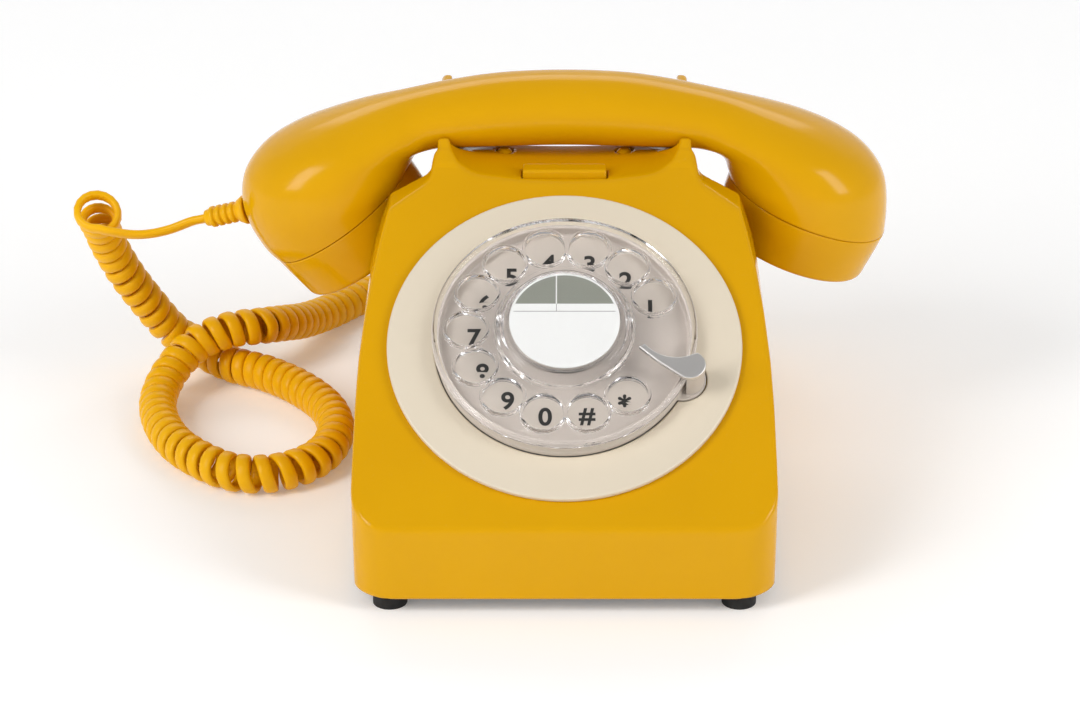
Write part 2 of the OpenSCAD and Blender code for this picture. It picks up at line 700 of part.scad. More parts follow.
// Turns one section into a ring of points, d inside its outline
function section_ring(s, d, n) = let (c = (s[0] + s[1]) / 2, h = (s[1] - s[0]) / 2,
        u = unit(h), a = norm(h) - d, b = s[2] - d)
    [for (k = [0 : n - 1]) let (t = 360 * k / n)
        [c[0] + a * cos(t) * u[0], grip_y + b * sin(t), c[1] + a * cos(t) * u[1]]];
module loft(rings) {
    n = len(rings[0]);
    m = len(rings);
    pts = [for (r = rings, p = r) p];
    walls = [for (i = [0 : m - 2], k = [0 : n - 1]) let (j = (k + 1) % n)
        each [[i * n + k, i * n + j, (i + 1) * n + j], [i * n + k, (i + 1) * n + j, (i + 1) * n + k]]];
    polyhedron(pts, concat([[for (k = [n - 1 : -1 : 0]) k]], walls,
        [[for (k = [0 : n - 1]) (m - 1) * n + k]]));
}
module at_mouth() {
    translate([mouth_c[0], grip_y, mouth_c[1]]) rotate([0, 180 - mouth_tilt, 0]) children();
}
module at_ear() {
    translate([ear_c[0], grip_y, ear_c[1]]) rotate([0, 180 + ear_tilt, 0]) children();
}
module handset_shell() {
    bore = atan2(gland_dir[1], gland_dir[0]);
    inner = [for (i = [1 : len(sections) - 2]) section_ring(sections[i], wall + 0.3, 16)];
    color(mustard) difference() {
        loft([for (s = sections) section_ring(s, 0, 28)]);
        loft(inner);
        at_mouth() translate([0, 0, -6]) cylinder(r = cup_r - wall, h = 30);
        at_ear() translate([0, 0, -6]) cylinder(r = cup_r - wall, h = 30);
        translate(gland_at) rotate([0, acos(gland_dir[2]), bore])
            translate([0, 0, -5]) cylinder(r = 5.05, h = 20);
    }
}
// A screwed cap: skirt, rounded edge and a dished face with sound holes
module cap(rings) {
    r = cup_r - 0.1;
    difference() {
        rotate_extrude($fn = 96) polygon(concat([[0, cap_h - 3.5], [0, cap_h - 1.6], [r - 7, cap_h - 1.2]],
            arc([r - 4.2, cap_h - 3], 3, 90, 0, 6),
            [[r - 0.4, 5], [r, 0.15], [r - 2.6, 0.15], [r - 3.4, cap_h - 3.5]]));
        for (k = [1 : rings], i = [0 : 6 * k - 1]) rotate([0, 0, i * 60 / k])
            translate([5 * k, 0, 0]) cylinder(r = 1.1, h = 30, $fn = 16);
    }
}
module ear_cap() {
    color(mustard) at_ear() cap(2);
}
module mouth_cap() {
    color(mustard) at_mouth() cap(3);
}
module receiver() {
    color("dimgray") at_ear() {
        disc(21, -1, 5);
        disc(14, -5, -0.9);
        disc(20, 5, 8);
    }
}
module microphone() {
    color("dimgray") at_mouth() {
        disc(23, -7, 4);
        disc(12, -11, -6.9);
        disc(21, 4, 8);
    }
}
module handset_weight() {
    color("dimgray") translate([0, grip_y, grip_z]) cube([50, 12, 6], center = true);
}

/* ---- cord ---- */
// The gland's foot on the mouth cup and the way it points
gland_at = [-107.6, grip_y, 77];
gland_dir = unit([-0.93, 0.2, -0.3]);
gland_len = 15;
function along(p, d, k) = p + d * k;
gland_end = along(gland_at, gland_dir, gland_len);
module cord_gland() {
    turn_z = atan2(gland_dir[1], gland_dir[0]);
    turn_y = acos(gland_dir[2]);
    color(mustard) translate(gland_at) rotate([0, turn_y, turn_z]) difference() {
        union() {
            cylinder(r = 3, h = gland_len);
            cylinder(r1 = 5, r2 = 3.8, h = 3);
            for (i = [1 : 4]) translate([0, 0, 1.6 + i * 2.5]) cylinder(r = 3.6, h = 1.5);
        }
        translate([0, 0, gland_len - 2]) cylinder(r = lead_r + 0.3, h = 3);
    }
}

// Smooth run through the route's points: Catmull-Rom, n steps between points
function cr(p0, p1, p2, p3, t) = 0.5 * (2 * p1 + (p2 - p0) * t + (2 * p0 - 5 * p1 + 4 * p2 - p3) * t * t
    + (3 * p1 - p0 - 3 * p2 + p3) * t * t * t);
function smooth(p, n) = let (m = len(p) - 1) concat([for (i = [0 : m - 1], k = [0 : n - 1])
    cr(p[max(0, i - 1)], p[i], p[i + 1], p[min(m, i + 2)], k / n)], [p[m]]);
function cross3(a, b) = [a[1] * b[2] - a[2] * b[1], a[2] * b[0] - a[0] * b[2], a[0] * b[1] - a[1] * b[0]];
// A round tube swept along points, with level cross bars so that it never twists
module tube(p, r, n) {
    m = len(p) - 1;
    dirs = [for (i = [0 : m]) unit(p[min(m, i + 1)] - p[max(0, i - 1)])];
    rings = [for (i = [0 : m]) let (side = unit(cross3(dirs[i], [0, 0, 1])), up = cross3(side, dirs[i]))
        [for (k = [0 : n - 1]) let (a = 360 * k / n + 180 / n) p[i] + r * cos(a) * side + r * sin(a) * up]];
    pts = [for (q = rings, v = q) v];
    walls = [for (i = [0 : m - 1], k = [0 : n - 1]) let (j = (k + 1) % n)
        each [[i * n + k, i * n + j, (i + 1) * n + j], [i * n + k, (i + 1) * n + j, (i + 1) * n + k]]];
    polyhedron(pts, concat([[for (k = [n - 1 : -1 : 0]) k]], walls, [[for (k = [0 : n - 1]) m * n + k]]));
}
coil_z = coil_r + 0.1;
lead_route = [along(gland_end, gland_dir, -1.6), along(gland_end, gland_dir, 2),
              along(gland_end, gland_dir, 6), [-134.6, 43.8, 67.5], [-141.5, 43.5, 66],
              [-148.3, 42.5, 66.2], [-155, 42.3, 68.5], [-159, 44.5, 72]];
coil_route = [[-159.1, 46, 74], [-159.6, 50, 69.6], [-159.5, 56, 61.5], [-157.5, 62, 51],
              [-153.4, 66.5, 39.5], [-147.6, 71, 27.5], [-140.5, 74.5, 15.5], [-131, 73.5, 8.4],
              [-119, 64, 6.9], [-105, 56, coil_z], [-92, 44, coil_z], [-82, 29, coil_z],
              [-78, 13, coil_z], [-80, -2, coil_z], [-87, -13, coil_z], [-98, -19, coil_z],
              [-110, -18, coil_z], [-121, -10, coil_z], [-131, 2, coil_z], [-138, 18, coil_z],
              [-141, 35, 7], [-138, 49, 11], [-130, 58, 17], [-119, 62, 20.6], [-108, 67, 20],
              [-100, 78, 16], [-94, 91, 11], [-86, 106, 7.5], [-76, 120, coil_z],
              [-64, 131, coil_z]];
plug_y = half_d + 11;
tail_route = [[-63.5, 131.5, coil_z], [-56, 137, 5], [-47, 136, 5], [-41, 129, 9], [-40, 120, 14.6],
              [-socket_x, plug_y + 3, socket_z], [-socket_x, plug_y + 0.05, socket_z]];
module handset_lead() {
    color(mustard) tube(smooth(lead_route, 3), lead_r, 8);
}
module curly_cord() {
    color(mustard) tube(smooth(coil_route, 2), coil_r, 10);
}
module base_lead() {
    color(mustard) tube(smooth(tail_route, 3), lead_r, 8);
}
module cord_plug() {
    color("#cccccc88") translate([-socket_x, 0, socket_z]) {
        translate([-3.8, half_d - 8, -3.3]) cube([7.6, 12, 6.6]);
        translate([-2.9, half_d + 3.9, -2.6]) cube([5.8, 7, 5.2]);
    }
}

case_shell();
base_plate();
feet();
base_screws();
ballast_weight();
dial_bezel();
number_plate();
dial_frame();
finger_wheel();
label_card();
label_cover();
wheel_nut();
finger_stop();
stop_screw();
dial_shaft();
main_gear();
idler_gear();
governor_spindle();
governor_weights();
governor_cup();
return_spring();
pulse_contacts();
dial_screws();
recall_button();
button_spring();
hook_plungers();
hook_spring();
hook_guide();
hook_switch();
circuit_board();
board_parts();
line_socket();
handset_socket();
ringer_housing();
ringer_slider();
bell_gong_left();
bell_gong_right();
bell_posts();
bell_bracket();
bell_coils();
bell_clapper();
handset_shell();
ear_cap();
mouth_cap();
receiver();
microphone();
handset_weight();
cord_gland();
handset_lead();
curly_cord();
base_lead();
cord_plug();
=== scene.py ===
import math

import bpy
import numpy as np
from mathutils import Matrix, Vector


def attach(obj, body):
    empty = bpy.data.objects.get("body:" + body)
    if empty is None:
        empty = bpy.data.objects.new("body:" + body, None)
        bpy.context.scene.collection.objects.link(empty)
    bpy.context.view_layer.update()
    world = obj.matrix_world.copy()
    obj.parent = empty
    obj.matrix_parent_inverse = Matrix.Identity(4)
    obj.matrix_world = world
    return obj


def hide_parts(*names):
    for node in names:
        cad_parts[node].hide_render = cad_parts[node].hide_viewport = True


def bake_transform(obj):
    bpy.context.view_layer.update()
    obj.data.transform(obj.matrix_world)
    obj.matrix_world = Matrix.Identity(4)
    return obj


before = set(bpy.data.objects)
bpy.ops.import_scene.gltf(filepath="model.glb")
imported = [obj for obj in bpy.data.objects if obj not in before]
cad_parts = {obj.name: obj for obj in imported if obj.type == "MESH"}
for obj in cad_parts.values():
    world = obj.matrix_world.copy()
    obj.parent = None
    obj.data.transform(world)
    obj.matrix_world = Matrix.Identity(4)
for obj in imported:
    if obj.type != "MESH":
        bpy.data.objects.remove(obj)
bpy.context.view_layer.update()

MM = 0.001

# Driving sizes in millimetres, the same as the frame's
HALF_W, HALF_D = 66.3, 100.0
FOOT_H, LIP_Z, SLOPE = 5.0, 29.6, math.radians(33.1)
CORNER_R, WALL = 14.0, 3.0
FACE_Y0 = 0.5 - HALF_D
CRADLE_Z, FRONT_HORN_Z, REAR_HORN_Z = 100.0, 109.8, 114.6
NECK_W, POCKET_X = 41.8, 34.0
GRIP_Y, GRIP_Z, GRIP_A, GRIP_B = 39.0, 114.1, 15.5, 12.0
CUP_R, CAP_H = 28.3, 17.0
MOUTH_C, MOUTH_TILT = (-75.0, 78.0), math.radians(36)
EAR_C, EAR_TILT = (82.0, 80.5), math.radians(20.5)
BUTTON_Y, BUTTON_W, BUTTON_D = 14.3, 27.5, 6.4
PLUNGER_X, PLUNGER_Y, PLUNGER_R = 20.0, 34.0, 2.6
SOCKET_X, LINE_X, RINGER_X, SOCKET_Z = -40.0, -4.0, 38.0, 16.0
DIAL_UP, STOP_ANGLE = 66.1, math.radians(-20)
BEZEL_R, BEZEL_TOP, DIAL_HOLE_R = 56.2, 2.0, 46.0
DISH_R, PLATE_TOP, DISH_TOP = 40.8, 3.5, 7.6
WHEEL_R, WHEEL_Z, WHEEL_T = 41.7, 8.0, 1.8
HOLE_RING_R, HOLE_R, HOLE_COUNT = 30.8, 6.3, 12
HOLE_FIRST, HOLE_STEP = math.radians(23.6), math.radians(26)
INK_R, INK_RIGHT, INK_UP, INK_FIRST = 29.0, 0.5, 0.4, math.radians(23)
BOSS_R, BOSS_Z, HUB_R, HUB_Z = 21.2, 14.4, 7.6, 11.0
LABEL_R, LABEL_Z, LABEL_T = 17.3, 15.0, 0.4
STOP_X, STOP_END_R, STOP_Z, STOP_T = 41.5, 5.0, 11.0, 1.6
GLAND_AT = Vector((-107.6, GRIP_Y, 77.0))
GLAND_DIR = Vector((-0.93, 0.2, -0.3)).normalized()
GLAND_LEN = 15.0
COIL_R, CORD_W, CORD_T, POINTS_PER_TURN = 6.6, 4.7, 2.6, 18


def face_point(s):
    """A point of the sloping face, s up from its front edge, as (y, z)."""
    return (FACE_Y0 + s * math.cos(SLOPE), LIP_Z + s * math.sin(SLOPE))


DIAL_Y, DIAL_Z = face_point(DIAL_UP)
# From the dial's own frame (z outwards, 0 at the face, in mm) to the shared frame in metres
DIAL = (Matrix.Translation((0, DIAL_Y * MM, DIAL_Z * MM)) @ Matrix.Rotation(SLOPE, 4, "X")
        @ Matrix.Scale(MM, 4))
PLAIN = Matrix.Scale(MM, 4)


# ---- camera ----
def make_camera():
    """A long lens about a metre off, looking 26 degrees down at the front."""
    data = bpy.data.cameras.new("camera")
    data.sensor_width = 36
    data.lens = 105.33
    data.shift_x = -0.0227
    data.clip_end = 20
    camera = placed("camera", data)
    camera.location = (0, -0.9451, 0.5002)
    camera.rotation_euler = (math.radians(90 - 26), 0, 0)
    bpy.context.scene.camera = camera


# ---- mesh helpers ----
def placed(name, data):
    """A new object for the data, in the scene."""
    made = bpy.data.objects.new(name, data)
    bpy.context.collection.objects.link(made)
    return made


def unit(rows):
    """Each row as a vector of length one."""
    return rows / np.linalg.norm(rows, axis=1)[:, None]


def mesh_object(name, points, faces, place=PLAIN, normals=None):
    """A smooth-shaded object from points, given in millimetres, and faces."""
    matrix = np.array(place)
    points = np.asarray(points, float) @ matrix[:3, :3].T + matrix[:3, 3]
    mesh = bpy.data.meshes.new(name)
    mesh.from_pydata([tuple(p) for p in points], [], [tuple(f) for f in faces])
    mesh.update()
    mesh.polygons.foreach_set("use_smooth", np.ones(len(mesh.polygons), bool))
    if normals is not None:
        normals = unit(np.asarray(normals) @ matrix[:3, :3].T)
        mesh.normals_split_custom_set_from_vertices([tuple(n) for n in normals])
    return placed(name, mesh)


def catmull_rom(points, steps):
    """A smooth run through the points, with that many steps between two of them."""
    p = np.asarray(points, float)
    last = len(p) - 1
    run = []
    for i in range(last):
        a, b, c, d = p[max(0, i - 1)], p[i], p[i + 1], p[min(last, i + 2)]
        for k in range(steps):
            t = k / steps
            run.append(0.5 * (2 * b + (c - a) * t + (2 * a - 5 * b + 4 * c - d) * t * t
                              + (3 * b - a - 3 * c + d) * t ** 3))
    run.append(p[last])
    return np.array(run)


def arc(centre, radius, start, end, steps):
    """Points on an arc, with its angles in degrees."""
    angles = np.radians(np.linspace(start, end, steps + 1))
    return [(centre[0] + radius * math.cos(a), centre[1] + radius * math.sin(a)) for a in angles]


def bezier(a, b, c, d, steps):
    """Points on a cubic curve after its first one."""
    t = np.linspace(0, 1, steps + 1)[1:, None]
    a, b, c, d = (np.array(p, float) for p in (a, b, c, d))
    return (a * (1 - t) ** 3 + 3 * b * t * (1 - t) ** 2 + 3 * c * t * t * (1 - t) + d * t ** 3).tolist()


def softened(corners, steps=5):
    """A closed outline whose corners, given as (u, v, radius), are rounded by arcs."""
    run = []
    count = len(corners)
    for i in range(count):
        before, here, after = (np.array(corners[(i + k) % count][:2], float) for k in (-1, 0, 1))
        radius = corners[i][2] if len(corners[i]) > 2 else 0
        u = (before - here) / np.linalg.norm(before - here)
        v = (after - here) / np.linalg.norm(after - here)
        half = math.acos(max(-1.0, min(1.0, float(u @ v)))) / 2
        if radius <= 0 or half > math.radians(88):
            run.append(tuple(here))
            continue
        reach = min(radius / math.tan(half), 0.48 * np.linalg.norm(before - here),
                    0.48 * np.linalg.norm(after - here))
        for t in np.linspace(0, 1, steps + 1):
            run.append(tuple(here + u * reach * (1 - t) ** 2 + v * reach * t * t))
    return run


class Outline:
    """Signed distance to a closed outline, looked up in a fine table."""

    def __init__(self, points, cell=0.3, margin=8.0):
        p = np.asarray(points, float)
        self.low = p.min(0) - margin
        self.cell = cell
        size = np.ceil((p.max(0) + margin - self.low) / cell).astype(int) + 2
        u = (self.low[0] + cell * np.arange(size[0]))[:, None]
        v = (self.low[1] + cell * np.arange(size[1]))[None, :]
        nearest = np.full((size[0], size[1]), 1e9)
        inside = np.zeros((size[0], size[1]), bool)
        for a, b in zip(p, np.roll(p, -1, axis=0)):
            e = b - a
            t = np.clip(((u - a[0]) * e[0] + (v - a[1]) * e[1]) / max(e @ e, 1e-12), 0, 1)
            nearest = np.minimum(nearest, (u - a[0] - t * e[0]) ** 2 + (v - a[1] - t * e[1]) ** 2)
            if a[1] != b[1]:
                crossing = a[0] + (v - a[1]) * e[0] / e[1]
                inside ^= ((a[1] > v) != (b[1] > v)) & (u < crossing)
        self.table = np.where(inside, -np.sqrt(nearest), np.sqrt(nearest))

    def __call__(self, u, v):
        fu = np.clip((u - self.low[0]) / self.cell, 0, self.table.shape[0] - 1.001)
        fv = np.clip((v - self.low[1]) / self.cell, 0, self.table.shape[1] - 1.001)
        i, j = fu.astype(int), fv.astype(int)
        a, b = fu - i, fv - j
        t = self.table
        return ((t[i, j] * (1 - a) + t[i + 1, j] * a) * (1 - b)
                + (t[i, j + 1] * (1 - a) + t[i + 1, j + 1] * a) * b)


def common(a, b, radius):
    """What is inside both fields, with their shared edge rounded to the radius."""
    return np.minimum(-radius, np.maximum(a, b)) + np.hypot(np.maximum(radius + a, 0),
                                                            np.maximum(radius + b, 0))


def joined(a, b, radius):
    """What is inside either field, with a fillet of the radius between them."""
    return -common(-a, -b, radius)


def cut(a, b, radius):
    """The first field without the second, with a rounded edge."""
    return common(a, -b, radius)


def box_field(u, v, w, half, radius=0.0):
    """Signed distance to a rounded box round the origin."""
    d = [np.abs(q) - (h - radius) for q, h in zip((u, v, w), half)]
    outer = np.sqrt(sum(np.maximum(q, 0) ** 2 for q in d))
    return outer + np.minimum(np.maximum(np.maximum(d[0], d[1]), d[2]), 0) - radius


def slab(w, low, high):
    """Signed distance to the space between two levels."""
    return np.abs(w - (low + high) / 2) - (high - low) / 2


def skin(name, field, low, high, step, place=PLAIN):
    """An object whose surface is where the field is zero, found on a grid from low to high.

    Each cell that the surface crosses gets one point, which then moves onto the surface along its slope.
    """
    axes = [np.arange(a - 1.5 * step, b + 1.6 * step, step) for a, b in zip(low, high)]
    x, y, z = axes[0][:, None, None], axes[1][None, :, None], axes[2][None, None, :]
    values = np.broadcast_to(field(x, y, z), [len(a) for a in axes]).astype(np.float32)
    values = np.where(np.abs(values) < 1e-5, 1e-5, values)
    solid = values < 0
    cells = [s - 1 for s in solid.shape]
    total = np.zeros(cells + [3], np.float32)
    count = np.zeros(cells, np.int16)
    crossings = []
    for axis in range(3):
        a = np.moveaxis(values, axis, 0)
        crossed = (a[:-1] < 0) != (a[1:] < 0)
        share = np.where(crossed, a[:-1] / (a[:-1] - a[1:] + 1e-20), 0)
        crossings.append(crossed)
        others = [k for k in range(3) if k != axis]
        for i, j in ((0, 0), (0, 1), (1, 0), (1, 1)):
            part = (slice(None), slice(i, i + cells[others[0]]), slice(j, j + cells[others[1]]))
            here = np.moveaxis(crossed[part], 0, axis)
            count += here
            total[..., axis] += np.moveaxis(share[part], 0, axis)
            total[..., others[0]] += i * here
            total[..., others[1]] += j * here
    used = count > 0
    index = np.full(cells, -1, np.int64)
    index[used] = np.arange(used.sum())
    where = np.argwhere(used)
    points = np.array([a[0] for a in axes]) + step * (where + total[used] / count[used][:, None])
    faces = []
    for axis in range(3):
        b, c = [k for k in range(3) if k != axis]
        spot = np.argwhere(np.moveaxis(crossings[axis], 0, axis))
        keep = (spot[:, b] > 0) & (spot[:, c] > 0) & (spot[:, b] < cells[b]) & (spot[:, c] < cells[c])
        spot = spot[keep]
        corner = []
        for db, dc in ((1, 1), (0, 1), (0, 0), (1, 0)):
            q = spot.copy()
            q[:, b] -= db
            q[:, c] -= dc
            corner.append(index[tuple(q.T)])
        quads = np.stack(corner, 1)
        flip = solid[tuple(spot.T)] ^ (axis == 1)
        quads[~flip] = quads[~flip][:, ::-1]
        faces.append(quads)
    h = 0.3 * step
    tetra = np.array([(1, 1, 1), (1, -1, -1), (-1, 1, -1), (-1, -1, 1)], float)

    def slope_at(p):
        return sum(t * field(*(p + h * t).T)[:, None] for t in tetra) / (4 * h)
    for _ in range(2):
        g = slope_at(points)
        long = np.maximum((g ** 2).sum(1), 0.05)
        move = g * (field(*points.T) / long)[:, None]
        far = np.linalg.norm(move, axis=1, keepdims=True)
        points -= move * np.minimum(1, 0.6 * step / np.maximum(far, 1e-9))
    return mesh_object(name, points, np.concatenate(faces), place, slope_at(points))


def turned(name, corners, place=PLAIN, around=96):
    """A closed body of revolution from a profile of (radius, height), from one pole to the other."""
    profile = [corners[0]]
    for a, b in zip(corners, corners[1:]):
        span = math.dist(a, b)
        if span > 1.2:
            # rings close to both ends keep the flat between them flat
            for share in (0.15 / span, 1 - 0.15 / span):
                profile.append(tuple(p + (q - p) * share for p, q in zip(a, b)))
        profile.append(b)
    rows = []
    points = []
    for r, h in profile:
        rows.append(len(points))
        if r < 1e-6:
            points.append((0, 0, h))
            continue
        for k in range(around):
            a = 2 * math.pi * k / around
            points.append((r * math.cos(a), r * math.sin(a), h))
    faces = []
    for i in range(len(profile) - 1):
        p, q = rows[i], rows[i + 1]
        pole_p, pole_q = profile[i][0] < 1e-6, profile[i + 1][0] < 1e-6
        for k in range(around):
            n = (k + 1) % around
            if pole_p:
                faces.append((p, q + n, q + k))
            elif pole_q:
                faces.append((p + k, p + n, q))
            else:
                faces.append((p + k, p + n, q + n, q + k))
    return mesh_object(name, points, faces, place)


def loft(rings):
    """Points and faces of a closed skin through rings of as many points each."""
    count, around = len(rings), len(rings[0])
    points = [p for ring in rings for p in ring]
    faces = [(i * around + k, i * around + (k + 1) % around,
              (i + 1) * around + (k + 1) % around, (i + 1) * around + k)
             for i in range(count - 1) for k in range(around)]
    faces.append(tuple(range(around - 1, -1, -1)))
    faces.append(tuple((count - 1) * around + k for k in range(around)))
    return points, faces


# ---- cord ----
GLAND_END = GLAND_AT + GLAND_DIR * GLAND_LEN
LEAD_ROUTE = [tuple(GLAND_END - GLAND_DIR * 1.6), tuple(GLAND_END + GLAND_DIR * 2),
              tuple(GLAND_END + GLAND_DIR * 6), (-134.6, 43.8, 67.5), (-141.5, 43.5, 66),
              (-148.3, 42.5, 66.2)]
COIL_ROUTE = [(-159.1, 46, 74), (-159.6, 50, 69.6), (-159.5, 56, 61.5), (-157.5, 62, 51),
              (-153.4, 66.5, 39.5), (-147.6, 71, 27.5), (-140.5, 74.5, 15.5), (-131, 73.5, 8.4),
              (-119, 64, 6.7), (-105, 56, 6.6), (-92, 44, 6.6), (-82, 29, 6.6), (-78, 13, 6.6),
              (-80, -2, 6.6), (-87, -13, 6.6), (-98, -19, 6.6), (-110, -18, 6.6),
              (-121, -10, 6.6), (-131, 2, 6.6), (-138, 18, 6.6), (-141, 35, 7), (-138, 49, 11),
              (-130, 58, 17), (-119, 62, 20.6), (-108, 67, 20), (-100, 78, 16), (-94, 91, 11),
              (-86, 106, 7.5), (-76, 120, 6.6), (-64, 131, 6.6)]
TAIL_ROUTE = [(-64, 131, 6.6), (-56, 137, 5), (-47, 136, 5), (-41, 129, 9), (-40, 120, 14.6),
              (-40, 114, 16), (-40, 110.6, 16)]


def coil_line():
    """Centreline of the wound part: its points and, at each, the direction of the coil's axis."""
    axis = catmull_rom(COIL_ROUTE, 12)
    steps = np.linalg.norm(np.diff(axis, axis=0), axis=1)
    run = np.concatenate([[0], np.cumsum(steps)])
    spots = np.linspace(0, run[-1], 3200)  # evenly spaced along the axis
    axis = np.stack([np.interp(spots, run, axis[:, k]) for k in range(3)], 1)
    along = unit(np.gradient(axis, axis=0))
    bend = np.linalg.norm(np.gradient(along, axis=0), axis=1) / (spots[1] - spots[0])
    bend = np.convolve(np.pad(bend, 60, "edge"), np.ones(121) / 121, "valid")
    front = spots[int(np.argmin(axis[:, 1]))]
    # the first turn is loose, the hanging part is stretched a little, and so is the bend at the front
    loose = 1 - np.clip(spots / 14, 0, 1)
    loose = loose * loose * (3 - 2 * loose)
    hanging = 1 - np.clip((spots - 70) / 15, 0, 1)
    wound_r = COIL_R - CORD_T / 2
    pitch = 4.85 + 1.3 * np.exp(-((spots - front) / 45) ** 2) + 1.1 * hanging + 1.2 * loose
    pitch = np.maximum(pitch, 4.7 / (1 - 0.7 * bend * wound_r))
    turn = np.concatenate([[0], np.cumsum(2 * math.pi / pitch[:-1] * np.diff(spots))])
    radius = wound_r + 1.9 * loose
    out = np.clip((spots[-1] - spots) / 7, 0, 1)
    radius = radius * np.sqrt(out)
    left = unit(np.cross((0, 0, 1), along))
    down = np.cross(along, left)
    down *= np.sign(-down[:, 2:3])
    marks = np.arange(0, turn[-1], 2 * math.pi / POINTS_PER_TURN)
    at = [np.stack([np.interp(marks, turn, q[:, k]) for k in range(3)], 1)
          for q in (axis, left, down, along)]
    r = np.interp(marks, turn, radius)[:, None]
    line = at[0] + r * (np.cos(marks)[:, None] * at[2] + np.sin(marks)[:, None] * at[1])
    return line, at[3]


def make_cord(gland):
    """The handset's cord in one piece: straight lead, curly part and the tail into the socket."""
    wound, along = coil_line()
    lead = catmull_rom(LEAD_ROUTE + [tuple(wound[0] - 0.2 * (wound[3] - wound[0])), tuple(wound[2])], 8)[:-9]
    tail = catmull_rom([tuple(wound[-1])] + TAIL_ROUTE[1:], 8)[1:]
    line = np.concatenate([lead, wound, tail])
    go = unit(np.gradient(line, axis=0))
    flat = np.zeros_like(line)
    first, last = len(lead), len(lead) + len(wound) - 1
    flat[first:last + 1] = along
    for order in (range(first - 1, -1, -1), range(last + 1, len(line))):
        previous = first if order.step < 0 else last
        for i in order:
            flat[i] = flat[previous]
            previous = i
            flat[i] -= go[i] * (flat[i] @ go[i])
            flat[i] /= np.linalg.norm(flat[i])
    flat = unit(flat - go * (flat * go).sum(1)[:, None])
    thick = np.cross(go, flat)
    angles = 2 * math.pi * (np.arange(12) + 0.5) / 12
    # a rounded, slightly square section
    wide, deep = (np.sign(q) * np.abs(q) ** 0.8 * size / 2
                  for q, size in ((np.cos(angles), CORD_W), (np.sin(angles), CORD_T)))
    rings = (line[:, None, :] + wide[None, :, None] * flat[:, None, :]
             + deep[None, :, None] * thick[:, None, :])
    points, faces = loft(rings.tolist())
    piece = mesh_object("handset_cord", points, faces)
    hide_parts("handset_lead", "curly_cord", "base_lead")
    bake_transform(piece)
    return piece


# ---- shader node groups ----
def new_group(name, inputs, outputs):
    """An empty shader node group with named sockets; inputs are (name, kind, default)."""
    group = bpy.data.node_groups.new(name, "ShaderNodeTree")
    for socket, kind, default in inputs:
        made = group.interface.new_socket(name=socket, in_out="INPUT", socket_type=kind)
        made.default_value = default
    for socket, kind in outputs:
        group.interface.new_socket(name=socket, in_out="OUTPUT", socket_type=kind)
    return group, group.nodes.new("NodeGroupInput").outputs, group.nodes.new("NodeGroupOutput")


FLOAT, COLOUR = "NodeSocketFloat", "NodeSocketColor"


def add(tree, kind, **settings):
    """A node in the tree, with its properties set."""
    node = tree.nodes.new(kind)
    for key, value in settings.items():
        setattr(node, key, value)
    return node


def give(tree, node, **values):
    """Sets a node's inputs by name (spaces as underscores): a socket is linked, a constant is set."""
    for key, value in values.items():
        socket = node.inputs[key.replace("_", " ")]
        if isinstance(value, bpy.types.NodeSocket):
            tree.links.new(value, socket)
        else:
            socket.default_value = value
    return node


def own_place(tree):
    """The surface's own coordinates."""
    return add(tree, "ShaderNodeTexCoord").outputs["Object"]


def noise(tree, vector, scale, detail, rough):
    """A noise texture; scale is a number or a socket."""
    node = add(tree, "ShaderNodeTexNoise")
    return give(tree, node, Vector=vector, Scale=scale, Detail=detail, Roughness=rough).outputs["Fac"]


def remap(tree, value, low, high, to_low=0.0, to_high=1.0):
    """The value moved from one range to another, clamped."""
    node = add(tree, "ShaderNodeMapRange")
    give(tree, node, Value=value, From_Min=low, From_Max=high, To_Min=to_low, To_Max=to_high)
    return node.outputs["Result"]


def maths(tree, operation, a, b):
    """One arithmetic step on two numbers or sockets."""
    node = add(tree, "ShaderNodeMath", operation=operation)
    for socket, value in zip(node.inputs, (a, b)):
        if isinstance(value, bpy.types.NodeSocket):
            tree.links.new(value, socket)
        else:
            socket.default_value = value
    return node.outputs[0]


def times(tree, a, b):
    return maths(tree, "MULTIPLY", a, b)


def blended(tree, share, a, b):
    """Two colours mixed by a share."""
    node = add(tree, "ShaderNodeMix", data_type="RGBA")
    for socket, value in ((node.inputs[0], share), (node.inputs[6], a), (node.inputs[7], b)):
        if isinstance(value, bpy.types.NodeSocket):
            tree.links.new(value, socket)
        else:
            socket.default_value = value
    return node.outputs[2]


def make_mottle():
    """Cloudy variation of a colour, as pigment flows in a mould."""
    group, given, out = new_group(
        "pigment_mottle", [("Color", COLOUR, (0.5, 0.5, 0.5, 1)), ("Deeper", COLOUR, (0.4, 0.4, 0.4, 1)),
                           ("Scale", FLOAT, 30.0), ("Amount", FLOAT, 0.5)], [("Color", COLOUR)])
    cloud = noise(group, own_place(group), given["Scale"], 4, 0.55)
    share = times(group, remap(group, cloud, 0.35, 0.7), given["Amount"])
    give(group, out, Color=blended(group, share, given["Color"], given["Deeper"]))
    return group


def make_grain():
    """Height of a fine moulded texture with a slow waviness under it."""
    group, given, out = new_group(
        "moulded_grain", [("Grain Scale", FLOAT, 2500.0), ("Wave Scale", FLOAT, 60.0),
                          ("Wave Share", FLOAT, 0.5)], [("Height", FLOAT)])
    where = own_place(group)
    mix = add(group, "ShaderNodeMix", data_type="FLOAT")
    group.links.new(given["Wave Share"], mix.inputs[0])
    group.links.new(noise(group, where, given["Grain Scale"], 2, 0.6), mix.inputs[2])
    group.links.new(noise(group, where, given["Wave Scale"], 1, 0.4), mix.inputs[3])
    give(group, out, Height=mix.outputs[0])
    return group


